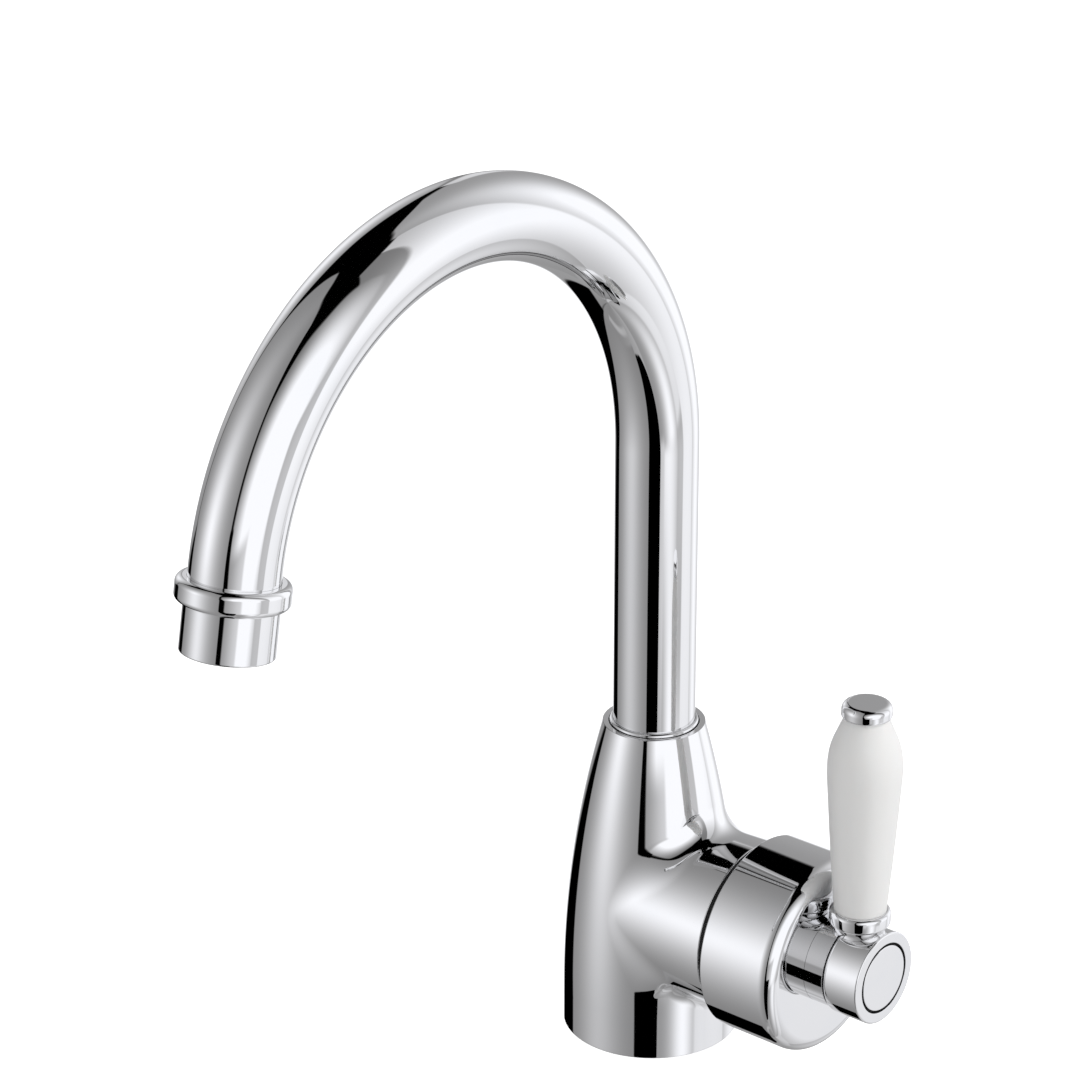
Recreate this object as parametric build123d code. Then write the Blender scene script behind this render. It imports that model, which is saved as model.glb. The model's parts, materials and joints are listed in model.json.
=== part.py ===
from build123d import *
import math
import os

# Gooseneck basin mixer, in millimetres.
# Origin: centre of the foot's underside. +Z is up, the spout reaches towards -Y and the branch points to +X.

# Clearances
run_gap = 0.08  # radial gap of a turning or sliding fit
seat_gap = 0.05  # gap between pieces of one assembly that are pushed or screwed together
free_gap = 0.4  # gap between pieces that move past each other without touching
over = 1.0  # how far a cut runs past the face it opens, or a joined piece into its neighbour

# Spout tube
tube_radius = 11.0
tube_wall = 1.5
riser_top = 170.3
bend_radius = 78.3
bend_sweep = 169.7

# Body
foot_radius = 24.0
foot_straight = 12.3  # height of the straight lower part before the sides curve in
body_height = 90.2
rim_wall = 1.5
rim_round = 0.5
junction_round = 6.0  # blend between the body and its branch

# Underside of the foot
seal_margin = 2.6  # from the foot's edge to its seal ring
seal_width = 3.4
seal_height = 1.8
recess_wall = 1.6  # wall between the seal ring and the recess
recess_depth = 3.0

# Branch that holds the cartridge
branch_height = 39.4
branch_radius = 23.5
branch_inset = 0.57  # the branch starts this much inside the body's side
branch_length = 34.0
neck_wall = 3.0
neck_length = 4.0
glide_ring_wall = 1.7
cartridge_bore_radius = 17.6
bore_floor_x = -11.0

# Waterways
inlet_radius = 4.5  # M10 x 1 tapped hole
inlet_depth = 10.0
inlet_margin = 0.5  # from an inlet to the recess's wall
inlet_angle = 41.4  # of each inlet from the -X direction, in degrees
port_radius = 2.3
port_web = 3.2  # from the cartridge's floor to the centre of the cast passages behind it
inlet_port_drop = 5.4
inlet_port_spread = 7.5
outlet_port_rise = 8.6
slant_drop = 10.8  # from the inlet ports down to the end of the slanted passages
stud_hole_radius = 3.4  # M8 tapped hole
stud_hole_depth = 13.0
stud_hole_margin = 4.0

# Spout socket and what turns in it
socket_gap = 1.2  # between the tube and the socket's wall
socket_depth = 26.6
spigot_gap = 0.6
spigot_bore_radius = 7.0
spigot_neck_length = 9.0
chamber_height = 5.0  # water space under the spigot
tube_sink = 7.7  # from the body's rim down to the tube's foot
retaining_ring_rise = 1.3  # from the spigot's base
retaining_ring_height = 1.2
retaining_ring_wall = 2.4
retaining_ring_bite = 0.7  # how far the ring stands into the socket's wall
retaining_ring_gap_angle = 30.0
lower_bush_rise = 3.6
lower_bush_height = 2.8
bush_wall = 1.6
o_ring_thickness = 1.9
o_ring_rises = (8.2, 11.6)
o_ring_back_gap = 0.2  # space behind an O-ring in its groove
upper_bush_height = 4.6
collar_sink = 1.5
collar_height = 2.4
collar_round = 0.7
collar_gap = 0.3

# Outlet
ring_offset = 1.1  # from the end of the bend to the outlet ring
ring_length = 6.3
ring_stand = 2.75  # how far the ring stands out from the tube
ring_round = 1.6
tube_end_length = 4.0
nozzle_stand = 0.45
nozzle_end = 19.3  # from the end of the bend
nozzle_wall = 2.2
nozzle_shoulder_step = 0.85
nozzle_lip_round = 0.4
aerator_sink = 1.4
aerator_length = 8.6
aerator_wall = 1.75
aerator_seal_height = 1.2
aerator_key_width = 2.4
aerator_key_depth = 1.2
aerator_ledge_rise = 1.4  # from the aerator's lower edge to its ledge
aerator_ledge_height = 1.0
aerator_ledge_width = 1.0
aerator_insert_length = 4.2
aerator_insert_rim = 0.6
aerator_cell_pitch = 3.0
aerator_cell_radius = 1.15
aerator_screen_height = 0.8
aerator_screen_hole = 0.7
aerator_screen_pitch = 2.2

# Cartridge, along the branch's axis from the floor of its bore
base_length = 5.0
fixed_disc_length = 3.5
moving_disc_length = 3.3
moving_disc_radius = 12.2
disc_port_radius = 2.6
hollow_width = 11.0
hollow_height = 9.0
hollow_depth = 1.8
hollow_rise = 1.0
hollow_round = 2.0
carrier_length = 7.2
carrier_boss_length = 5.6
carrier_boss_radius = 6.4
foot_socket_radius = 3.2
rotor_clearance = 1.7  # between the carrier's boss and the rotor
rotor_nose_length = 3.0
housing_wall = 1.5
housing_front = 3.0
housing_opening_radius = 12.0
nut_sink = 4.4  # from the neck's end to the nut
nut_length = 6.5
nut_bore_radius = 13.2
nut_notch_width = 4.0
nut_notch_depth = 2.0
port_seal_wall = 1.4
port_seal_height = 1.2

# Handle motion
pivot_x = 20.0
tilt_limit = 22.0
pivot_pin_radius = 1.5
pivot_pin_length = 26.0
foot_arm = 8.0  # from the pivot to the ball that pushes the disc carrier
foot_ball_radius = 2.8
foot_shaft_radius = 2.0
spindle_width = 8.0
spindle_back = 3.4  # how far the square part reaches behind the pivot
spindle_round = 1.6
spindle_grip = 8.0  # length of the spindle inside the stem

# Hub, stem and knob
hub_gap = 3.4  # from the branch's end to the hub
hub_length = 22.9
hub_radius = 26.65
hub_wall = 2.25
hub_front_wall = 3.0
hub_face_round = 4.0
hub_rim_round = 0.5
stem_radius = 12.0
stem_length = 6.6
stem_edge_round = 0.3
stem_boss_radius = 9.0
stem_boss_length = 14.3
stem_spigot_step = 2.5
knob_stand = 0.6
knob_lap = 0.7  # how far the knob reaches back over the stem
knob_length = 11.2
knob_back_length = 5.4  # length of the knob's rounded back edge
knob_back_depth = 1.5
knob_face_round = 0.5
knob_front_wall = 3.2
knob_face_rim = 3.0
index_groove = 0.6
index_depth = 1.4
index_edge_round = 0.25
screw_radius = 2.5
screw_head_radius = 4.2
screw_head_length = 2.8
screw_head_space = 2.0
screw_reach = 9.0
screw_key_width = 3.0
screw_key_depth = 1.8

# Lever, with its heights counted from the branch's axis
lever_offset = 2.2  # from the stem's end
ferrule_neck_radius = 6.55
ferrule_neck_rise = 13.6
ferrule_band_radius = 8.05
ferrule_band_rise = 14.9
ferrule_band_height = 2.0
ferrule_top_radius = 6.8
ferrule_cove = 0.25  # how far the neck hollows in under the band
ferrule_low_share = 0.75  # share of the step to the band at the middle of its lower curve
ferrule_high_share = 0.72
grip_rise = 18.0
grip_length = 54.8
grip_foot_radius = 6.8
grip_widest_radius = 9.75
grip_widest_rise = 41.2  # from the grip's foot
grip_belly = ((0.40, 0.44), (0.83, 0.865))  # share of the height up to there, share of the swelling
grip_top_radius = 5.7
grip_shoulder = ((0.45, 0.27), (0.71, 0.63))  # share of the height above it, share of the narrowing
grip_bore_radius = 3.1
stud_radius = 2.5
stud_foot_rise = 4.0
washer_radius = 4.9
washer_height = 0.8
cap_radius = 6.6
cap_height = 4.4
cap_wall = 1.7
cap_edge = 0.95
cap_foot_round = 0.5

# Radii and places worked out from the sizes above
tube_bore_radius = tube_radius - tube_wall
socket_radius = tube_radius + socket_gap
spigot_radius = socket_radius - spigot_gap
body_rim_radius = socket_radius + rim_wall
side_depth = foot_radius - body_rim_radius
side_height = body_height - foot_straight
side_arc_radius = (side_height**2 + side_depth**2) / (2 * side_depth)
seal_outer_radius = foot_radius - seal_margin
seal_inner_radius = seal_outer_radius - seal_width
recess_radius = seal_inner_radius - recess_wall
inlet_reach = recess_radius - inlet_radius - inlet_margin
inlet_x = -inlet_reach * math.cos(math.radians(inlet_angle))
inlet_y = inlet_reach * math.sin(math.radians(inlet_angle))
stud_hole_x = recess_radius - stud_hole_radius - stud_hole_margin
socket_floor = body_height - socket_depth
spigot_base = socket_floor + chamber_height
tube_foot = body_height - tube_sink
collar_base = body_height - collar_sink
retaining_ring_z = spigot_base + retaining_ring_rise
lower_bush_z = spigot_base + lower_bush_rise
bend_centre = (0, -bend_radius, riser_top)
ring_radius = tube_radius + ring_stand
nozzle_radius = tube_radius + nozzle_stand
aerator_radius = nozzle_radius - nozzle_wall
aerator_bore_radius = aerator_radius - aerator_wall
aerator_end = nozzle_end - aerator_sink
aerator_housing_start = aerator_end - aerator_length
aerator_seal_start = aerator_housing_start - seat_gap - aerator_seal_height
insert_end = aerator_end - aerator_ledge_rise - aerator_ledge_height - seat_gap
insert_start = insert_end - aerator_insert_length
neck_radius = cartridge_bore_radius + neck_wall
neck_end_x = branch_length + neck_length
passage_x = bore_floor_x - port_web
cartridge_radius = cartridge_bore_radius - run_gap
housing_bore_radius = cartridge_radius - housing_wall
base_end_x = bore_floor_x + base_length
fixed_disc_end_x = base_end_x + fixed_disc_length
moving_disc_start_x = fixed_disc_end_x + run_gap
carrier_start_x = moving_disc_start_x + moving_disc_length
carrier_end_x = carrier_start_x + carrier_length
carrier_boss_end_x = carrier_end_x + carrier_boss_length
rotor_start_x = carrier_boss_end_x + rotor_clearance
nut_end_x = neck_end_x - nut_sink
housing_end_x = nut_end_x - nut_length - seat_gap
rotor_nose_end_x = housing_end_x + rotor_nose_length
foot_ball_x = pivot_x - foot_arm
hub_bore_radius = hub_radius - hub_wall
hub_start_x = branch_length + hub_gap
hub_face_x = hub_start_x + hub_length
stem_end_x = hub_face_x + stem_length
stem_boss_start_x = hub_face_x - stem_boss_length
stem_spigot_radius = stem_radius - stem_spigot_step
spindle_start_x = pivot_x - spindle_back
spindle_end_x = stem_boss_start_x + spindle_grip
knob_radius = stem_radius + knob_stand
knob_start_x = stem_end_x - knob_lap
knob_face_x = knob_start_x + knob_length
knob_bore_end_x = knob_face_x - knob_front_wall
screw_seat_x = knob_bore_end_x - screw_head_space
index_radius = knob_radius - knob_face_rim - index_groove
lever_x = stem_end_x + lever_offset
ferrule_neck_top = branch_height + ferrule_neck_rise
ferrule_band_low = branch_height + ferrule_band_rise
ferrule_band_high = ferrule_band_low + ferrule_band_height
grip_foot = branch_height + grip_rise
grip_top = grip_foot + grip_length
stud_foot = branch_height + stud_foot_rise
cap_top = grip_top + cap_height
stud_end = cap_top - cap_wall

# Room for the tilting spindle in the rotor's slot, under and over the branch's axis
tilt = math.radians(tilt_limit)
nose_reach = rotor_nose_end_x - pivot_x
slot_low = spindle_width / 2 / math.cos(tilt) + nose_reach * math.tan(tilt) + 2 * free_gap
slot_high = spindle_width / 2 * math.cos(tilt) + spindle_back * math.sin(tilt) + 2 * free_gap


def side_radius(z):
    """Outer radius of the body at a height."""
    if z <= foot_straight:
        return foot_radius
    drop = side_arc_radius - math.sqrt(side_arc_radius**2 - (z - foot_straight) ** 2)
    return foot_radius - drop


def upright(radius, low, high, x=0.0, y=0.0):
    """Solid cylinder along Z."""
    return Pos(x, y, (low + high) / 2) * Cylinder(radius, high - low)


def sideways(radius, start_x, end_x, y=0.0, z=branch_height):
    """Solid cylinder along X, on the branch's axis unless told otherwise."""
    return Pos((start_x + end_x) / 2, y, z) * Rot(0, 90, 0) * Cylinder(radius, end_x - start_x)


def sideways_ring(outer, inner, start_x, end_x, y=0.0, z=branch_height):
    """Ring along X; its bore is cut a little long so no skin is left."""
    return sideways(outer, start_x, end_x, y, z) - sideways(inner, start_x - over, end_x + over, y, z)


def upright_ring(outer, inner, low, high, x=0.0, y=0.0):
    """Ring along Z."""
    return upright(outer, low, high, x, y) - upright(inner, low - over, high + over, x, y)


def turned(lines, axis):
    """Solid turned from a closed outline drawn in the XZ plane."""
    return revolve(make_face(lines), axis=axis)


def branch_axis():
    return Axis((0, 0, branch_height), (1, 0, 0))


def lever_axis():
    return Axis((lever_x, 0, 0), (0, 0, 1))


def outlet_place():
    """Frame at the end of the bend: local Z runs on along the tube, out of the spout."""
    angle = math.radians(bend_sweep)
    y = -bend_radius + bend_radius * math.cos(angle)
    z = riser_top + bend_radius * math.sin(angle)
    along = (0, -math.sin(angle), math.cos(angle))
    return Plane(origin=(0, y, z), x_dir=(1, 0, 0), z_dir=along)


def outlet_cylinder(radius, start, end):
    return outlet_place() * Pos(0, 0, (start + end) / 2) * Cylinder(radius, end - start)


def outlet_ring_shape(outer, inner, start, end):
    return outlet_cylinder(outer, start, end) - outlet_cylinder(inner, start - over, end + over)


def body_shell():
    """Turned body with its curved sides, fused and blended with the branch."""
    heights = [0, foot_straight / 2, foot_straight]
    heights += [foot_straight + share * side_height for share in (0.25, 0.5, 0.75, 1)]
    outline = [
        Line((0, 0, 0), (foot_radius, 0, 0)),
        Spline([(side_radius(z), 0, z) for z in heights]),
        Line((body_rim_radius, 0, body_height), (0, 0, body_height)),
        Line((0, 0, body_height), (0, 0, 0)),
    ]
    body = turned(outline, Axis.Z)
    root = side_radius(branch_height) - branch_inset
    taper = Polyline(
        (0, 0, branch_height),
        (0, 0, branch_height + root),
        (branch_length, 0, branch_height + branch_radius),
        (branch_length, 0, branch_height),
        close=True,
    )
    joined = body + turned(taper, branch_axis())
    seam = [edge for edge in joined.edges() if edge.geom_type == GeomType.BSPLINE]
    return joined.fillet(junction_round, seam)


def waterways():
    """Tapped inlets, cast passages behind the cartridge and the way up to the spout."""
    inlet_top = recess_depth + inlet_depth
    inlet_port_z = branch_height - inlet_port_drop
    outlet_port_z = branch_height + outlet_port_rise
    cross_z = socket_floor + chamber_height / 2
    cuts = []
    for side in (-1, 1):
        y = side * inlet_y
        port_y = side * inlet_port_spread
        low = (inlet_x, y, inlet_top - port_radius)
        turn = Line(low, (passage_x, port_y, inlet_port_z - slant_drop))
        slant = sweep(Plane(origin=turn @ 0, z_dir=turn % 0) * Circle(port_radius), path=turn)
        cuts.append(upright(inlet_radius, 0, inlet_top, inlet_x, y))
        cuts.append(slant)
        cuts.append(Pos(passage_x, port_y, (turn @ 1).Z) * Sphere(port_radius))
        cuts.append(upright(port_radius, (turn @ 1).Z, inlet_port_z, passage_x, port_y))
        cuts.append(sideways(port_radius, passage_x, bore_floor_x + over, port_y, inlet_port_z))
        cuts.append(Pos(passage_x, port_y, inlet_port_z) * Sphere(port_radius))
    cuts.append(sideways(port_radius, passage_x, bore_floor_x + over, 0, outlet_port_z))
    cuts.append(Pos(passage_x, 0, outlet_port_z) * Sphere(port_radius))
    cuts.append(upright(port_radius, outlet_port_z, cross_z, passage_x, 0))
    cuts.append(Pos(passage_x, 0, cross_z) * Sphere(port_radius))
    cuts.append(sideways(port_radius, passage_x, 0, 0, cross_z))
    return cuts


def make_body_casting():
    neck = sideways(neck_radius, branch_length - over, neck_end_x)
    bore = sideways(cartridge_bore_radius, bore_floor_x, neck_end_x + over)
    socket = upright(socket_radius, socket_floor, body_height + over)
    groove = upright(
        socket_radius + retaining_ring_bite,
        retaining_ring_z,
        retaining_ring_z + retaining_ring_height + seat_gap,
    )
    seal_groove = upright_ring(
        seal_outer_radius + seat_gap, seal_inner_radius - seat_gap, -over, seal_height + seat_gap
    )
    casting = body_shell() + neck
    casting -= [bore, socket, groove, seal_groove]
    casting -= upright(recess_radius, -over, recess_depth)
    casting -= upright(stud_hole_radius, 0, recess_depth + stud_hole_depth, stud_hole_x)
    casting -= waterways()
    rim = casting.edges().filter_by(GeomType.CIRCLE).group_by(Axis.Z)[-1]
    return casting.fillet(rim_round, rim)


def make_base_seal_ring():
    return upright_ring(seal_outer_radius, seal_inner_radius, 0, seal_height)


def make_glide_ring():
    inner = neck_radius + seat_gap
    return sideways_ring(inner + glide_ring_wall, inner, branch_length + seat_gap, neck_end_x - seat_gap)


def make_spout_tube():
    """Riser, bend and short straight end, all of one bore."""
    ring = Circle(tube_radius) - Circle(tube_bore_radius)
    riser = extrude(Pos(0, 0, tube_foot) * ring, riser_top - tube_foot)
    bend_axis = Axis(bend_centre, (1, 0, 0))
    bend = revolve(Pos(0, 0, riser_top) * ring, axis=bend_axis, revolution_arc=bend_sweep)
    end = outlet_ring_shape(tube_radius, tube_bore_radius, 0, tube_end_length)
    return riser + bend + end


def make_spout_collar():
    """Rounded ring round the tube, standing a little above the body's rim."""
    inner = tube_radius + seat_gap
    outer = socket_radius - collar_gap
    top = collar_base + collar_height
    ring = upright_ring(outer, inner, collar_base, top)
    edge = ring.edges().filter_by(GeomType.CIRCLE).sort_by(Axis.Z)[-2:].sort_by(SortBy.RADIUS)[-1]
    return ring.fillet(collar_round, [edge])


def make_spout_spigot():
    """Turned foot of the spout, grooved for its rings, with a neck that holds the tube."""
    inner_groove = spigot_radius - retaining_ring_wall + free_gap
    spigot = upright(spigot_radius, spigot_base, tube_foot)
    spigot += upright(tube_bore_radius - seat_gap, tube_foot - over, tube_foot + spigot_neck_length)
    spigot -= upright(spigot_bore_radius, spigot_base - over, tube_foot + spigot_neck_length + over)
    spigot -= upright_ring(
        spigot_radius + over,
        inner_groove - free_gap,
        retaining_ring_z - free_gap,
        retaining_ring_z + retaining_ring_height + free_gap,
    )
    spigot -= upright_ring(
        spigot_radius + over,
        socket_radius - run_gap - bush_wall,
        lower_bush_z - seat_gap,
        lower_bush_z + lower_bush_height + seat_gap,
    )
    groove_radius = socket_radius - o_ring_thickness - o_ring_back_gap
    half = o_ring_thickness / 2 + seat_gap
    for rise in o_ring_rises:
        z = spigot_base + rise
        spigot -= upright_ring(spigot_radius + over, groove_radius, z - half, z + half)
    return spigot


def make_spout_o_rings():
    centre_radius = socket_radius - run_gap - o_ring_thickness / 2
    ring = Torus(centre_radius, o_ring_thickness / 2)
    return [Pos(0, 0, spigot_base + rise) * ring for rise in o_ring_rises]


def make_lower_bush():
    outer = socket_radius - run_gap
    return upright_ring(outer, outer - bush_wall + seat_gap, lower_bush_z, lower_bush_z + lower_bush_height)


def make_upper_bush():
    top = collar_base - seat_gap
    return upright_ring(socket_radius - run_gap, tube_radius + seat_gap, top - upper_bush_height, top)


def make_retaining_ring():
    """Sprung ring in the socket's groove, split at the back, that keeps the spout in."""
    outer = socket_radius + retaining_ring_bite - seat_gap
    inner = spigot_radius - retaining_ring_wall + 2 * free_gap
    ring = upright_ring(outer, inner, retaining_ring_z, retaining_ring_z + retaining_ring_height)
    opening = 2 * outer * math.sin(math.radians(retaining_ring_gap_angle / 2))
    return ring - Pos(0, outer, retaining_ring_z) * Box(opening, outer, 4 * retaining_ring_height)


def make_outlet_ring():
    """Rounded band over the joint between the tube and the nozzle."""
    end = ring_offset + ring_length
    band = outlet_cylinder(ring_radius, ring_offset, end)
    band = band.fillet(ring_round, band.edges().filter_by(GeomType.CIRCLE))
    band -= outlet_cylinder(tube_radius + seat_gap, ring_offset - over, tube_end_length + seat_gap)
    return band - outlet_cylinder(nozzle_radius + seat_gap, tube_end_length, end + over)


def make_outlet_nozzle():
    start = tube_end_length + seat_gap
    shoulder = aerator_seal_start - seat_gap
    nozzle = outlet_cylinder(nozzle_radius, start, nozzle_end)
    lip = nozzle.edges().filter_by(GeomType.CIRCLE).sort_by(Axis.Z)[0]
    nozzle = nozzle.fillet(nozzle_lip_round, [lip])
    nozzle -= outlet_cylinder(aerator_radius - nozzle_shoulder_step, start - over, nozzle_end)
    return nozzle - outlet_cylinder(aerator_radius + seat_gap, shoulder, nozzle_end + over)


def make_aerator_seal():
    end = aerator_seal_start + aerator_seal_height
    return outlet_ring_shape(aerator_radius - seat_gap, aerator_bore_radius, aerator_seal_start, end)


def make_aerator_housing():
    """Threaded ring with four key slots in its lower edge and a ledge that carries the insert."""
    housing = outlet_ring_shape(aerator_radius, aerator_bore_radius, aerator_housing_start, aerator_end)
    ledge_end = aerator_end - aerator_ledge_rise
    ledge_bore = aerator_bore_radius - aerator_ledge_width
    outer = (aerator_bore_radius + aerator_radius) / 2
    housing += outlet_ring_shape(outer, ledge_bore, ledge_end - aerator_ledge_height, ledge_end)
    key = Box(2 * (aerator_radius + over), aerator_key_width, 2 * aerator_key_depth)
    for turn in (0, 90):
        housing -= outlet_place() * Pos(0, 0, aerator_end) * Rot(0, 0, turn) * key
    return housing


def aerator_grid(hole_radius, pitch, start, end, reach):
    """Round holes on a square grid, within a reach of the axis."""
    steps = int(reach / pitch)
    places = [
        (i * pitch, j * pitch)
        for i in range(-steps, steps + 1)
        for j in range(-steps, steps + 1)
        if math.hypot(i, j) * pitch + hole_radius <= reach
    ]
    middle = (start + end) / 2
    hole = Cylinder(hole_radius, end - start + 2 * over)
    return [outlet_place() * Pos(x, y, middle) * hole for x, y in places]


def make_aerator_insert():
    insert = outlet_cylinder(aerator_bore_radius - seat_gap, insert_start, insert_end)
    reach = aerator_bore_radius - aerator_insert_rim
    return insert - aerator_grid(aerator_cell_radius, aerator_cell_pitch, insert_start, insert_end, reach)


def make_aerator_screen():
    end = insert_start - seat_gap
    start = end - aerator_screen_height
    screen = outlet_cylinder(aerator_bore_radius - seat_gap, start, end)
    reach = aerator_bore_radius - aerator_insert_rim
    return screen - aerator_grid(aerator_screen_hole, aerator_screen_pitch, start, end, reach)


def port_places():
    """Cold, hot and mixed water ports, as places across the branch's axis."""
    low = branch_height - inlet_port_drop
    high = branch_height + outlet_port_rise
    return [(inlet_port_spread, low), (-inlet_port_spread, low), (0, high)]


def make_cartridge_base():
    start = bore_floor_x + seat_gap
    base = sideways(cartridge_radius, start, base_end_x)
    for y, z in port_places():
        base -= sideways(port_radius, start - over, base_end_x + over, y, z)
        seat = port_radius + seat_gap + port_seal_wall + seat_gap
        base -= sideways(seat, start - over, start + port_seal_height, y, z)
    return base


def make_port_seals():
    inner = port_radius + seat_gap
    start = bore_floor_x + seat_gap
    end = start + port_seal_height - seat_gap
    return [sideways_ring(inner + port_seal_wall, inner, start, end, y, z) for y, z in port_places()]


def make_fixed_disc():
    disc = sideways(housing_bore_radius - run_gap, base_end_x + seat_gap, fixed_disc_end_x)
    for y, z in port_places():
        disc -= sideways(disc_port_radius, base_end_x - over, fixed_disc_end_x + over, y, z)
    return disc


def make_moving_disc():
    """Ceramic disc with a hollow that joins the ports when the lever is tilted."""
    disc = sideways(moving_disc_radius, moving_disc_start_x, carrier_start_x)
    hollow = Box(2 * hollow_depth, hollow_width, hollow_height)
    hollow = hollow.fillet(hollow_round, hollow.edges().filter_by(Axis.X))
    return disc - Pos(moving_disc_start_x, 0, branch_height + hollow_rise) * hollow


def make_disc_carrier():
    carrier = sideways(moving_disc_radius, carrier_start_x + seat_gap, carrier_end_x)
    carrier += sideways(carrier_boss_radius, carrier_end_x - over, carrier_boss_end_x)
    return carrier - sideways(foot_socket_radius, foot_ball_x - foot_socket_radius, carrier_boss_end_x + over)


def make_cartridge_housing():
    start = base_end_x + seat_gap
    housing = sideways(cartridge_radius, start, housing_end_x)
    housing -= sideways(housing_bore_radius, start - over, housing_end_x - housing_front)
    return housing - sideways(housing_opening_radius, start, housing_end_x + over)


def make_cartridge_rotor():
    """Turns with the lever; its slot lets the spindle tilt."""
    flange_end = housing_end_x - housing_front - run_gap
    rotor = sideways(housing_bore_radius - run_gap, rotor_start_x, flange_end)
    rotor += sideways(housing_opening_radius - run_gap, flange_end - over, rotor_nose_end_x)
    middle = branch_height + (slot_high - slot_low) / 2
    length = rotor_nose_end_x - rotor_start_x + 2 * over
    slot = Box(length, spindle_width + 2 * free_gap, slot_low + slot_high)
    rotor -= Pos((rotor_start_x + rotor_nose_end_x) / 2, 0, middle) * slot
    hole = Cylinder(pivot_pin_radius + seat_gap, 2 * (housing_bore_radius + over))
    return rotor - Pos(pivot_x, 0, branch_height) * Rot(90, 0, 0) * hole


def make_spindle_pin():
    return Pos(pivot_x, 0, branch_height) * Rot(90, 0, 0) * Cylinder(pivot_pin_radius, pivot_pin_length)


def make_spindle():
    """Square shaft that the hub sits on, with a pivot hole and a ball foot."""
    length = spindle_end_x - spindle_start_x
    spindle = Pos((spindle_start_x + spindle_end_x) / 2, 0, branch_height) * Box(
        length, spindle_width, spindle_width
    )
    ends = spindle.edges().filter_by(Axis.Y).sort_by(Axis.X)[:2]
    spindle = spindle.fillet(spindle_round, ends)
    spindle += sideways(foot_shaft_radius, foot_ball_x, spindle_start_x + over)
    spindle += Pos(foot_ball_x, 0, branch_height) * Sphere(foot_ball_radius)
    hole = Cylinder(pivot_pin_radius + run_gap, 2 * spindle_width)
    spindle -= Pos(pivot_x, 0, branch_height) * Rot(90, 0, 0) * hole
    screw_end = spindle_end_x - screw_reach - over
    return spindle - sideways(screw_radius + seat_gap, screw_end, spindle_end_x + over)


def make_cartridge_nut():
    """Ring nut that clamps the housing, with four notches for its key."""
    nut = sideways_ring(cartridge_radius, nut_bore_radius, housing_end_x + seat_gap, nut_end_x)
    for turn in range(4):
        angle = math.radians(90 * turn)
        y = nut_bore_radius * math.cos(angle)
        z = branch_height + nut_bore_radius * math.sin(angle)
        notch = Box(2 * nut_notch_depth, 2 * nut_notch_depth, nut_notch_width)
        nut -= Pos(nut_end_x, y, z) * Rot(90 * turn, 0, 0) * notch
    return nut


def make_hub_shell():
    """Cylinder closed at the front, open at the back so that it covers the branch's neck."""
    hub = sideways(hub_radius, hub_start_x, hub_face_x)
    rims = hub.edges().filter_by(GeomType.CIRCLE).sort_by(Axis.X)
    hub = hub.fillet(hub_face_round, [rims[-1]])
    rims = hub.edges().filter_by(GeomType.CIRCLE).sort_by(Axis.X)
    hub = hub.fillet(hub_rim_round, [rims[0]])
    hub -= sideways(hub_bore_radius, hub_start_x - over, hub_face_x - hub_front_wall)
    return hub - sideways(stem_boss_radius + seat_gap, hub_start_x, hub_face_x + over)


def lever_hole():
    """Hole for the lever's stud, down from above the knob."""
    return upright(stud_radius + seat_gap, stud_foot - seat_gap, branch_height + 2 * knob_radius, lever_x)


def make_handle_stem():
    """Passes through the hub's face, holds the square spindle and carries the knob."""
    stem = sideways(stem_radius, hub_face_x + seat_gap, stem_end_x)
    rims = stem.edges().filter_by(GeomType.CIRCLE).sort_by(Axis.X)
    stem = stem.fillet(stem_edge_round, [rims[-1]])
    stem += sideways(stem_boss_radius, stem_boss_start_x, hub_face_x + over)
    stem += sideways(stem_spigot_radius, stem_end_x - over, knob_bore_end_x - seat_gap)
    square = spindle_width + 2 * seat_gap
    socket_length = spindle_grip + seat_gap + over
    middle = stem_boss_start_x - over + socket_length / 2
    stem -= Pos(middle, 0, branch_height) * Box(socket_length, square, square)
    stem -= sideways(screw_radius + seat_gap, spindle_end_x - over, screw_seat_x + over)
    stem -= sideways(screw_head_radius + seat_gap, screw_seat_x, knob_face_x)
    return stem - lever_hole()


def knob_outline(gap=0.0):
    """Closed outline of the knob in the XZ plane: an elliptical back edge, then straight."""
    back_radius = knob_radius + gap - knob_back_depth
    back_end = knob_start_x + knob_back_length
    centre = (back_end, branch_height + back_radius)
    edge = EllipticalCenterArc(centre, knob_back_length, knob_back_depth, start_angle=90, arc_size=90)
    edge = Plane.XZ * edge
    top = branch_height + knob_radius + gap
    corner = knob_face_x - knob_face_round
    return [
        edge,
        Line((back_end, 0, top), (corner, 0, top)),
        ThreePointArc(
            (corner, 0, top),
            (
                corner + knob_face_round * math.sin(math.pi / 4),
                0,
                top - knob_face_round * (1 - math.cos(math.pi / 4)),
            ),
            (knob_face_x, 0, top - knob_face_round),
        ),
        Line((knob_face_x, 0, top - knob_face_round), (knob_face_x, 0, branch_height)),
        Line((knob_face_x, 0, branch_height), (knob_start_x, 0, branch_height)),
        Line((knob_start_x, 0, branch_height), (knob_start_x, 0, branch_height + back_radius)),
    ]


def make_handle_knob():
    """Cap over the stem's end, with a shallow round recess for the index disc in its face."""
    knob = turned(knob_outline(), branch_axis())
    knob -= sideways(stem_spigot_radius + seat_gap, knob_start_x - over, knob_bore_end_x)
    knob -= sideways(stem_radius + seat_gap, knob_start_x - over, stem_end_x + seat_gap)
    knob -= sideways(index_radius + index_groove, knob_face_x - index_depth, knob_face_x + over)
    knob -= sideways(screw_head_radius + seat_gap, knob_bore_end_x - over, knob_face_x)
    return knob - lever_hole()


def make_index_disc():
    disc = sideways(index_radius, knob_face_x - index_depth + seat_gap, knob_face_x)
    rims = disc.edges().filter_by(GeomType.CIRCLE).sort_by(Axis.X)
    return disc.fillet(index_edge_round, [rims[-1]])


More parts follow.
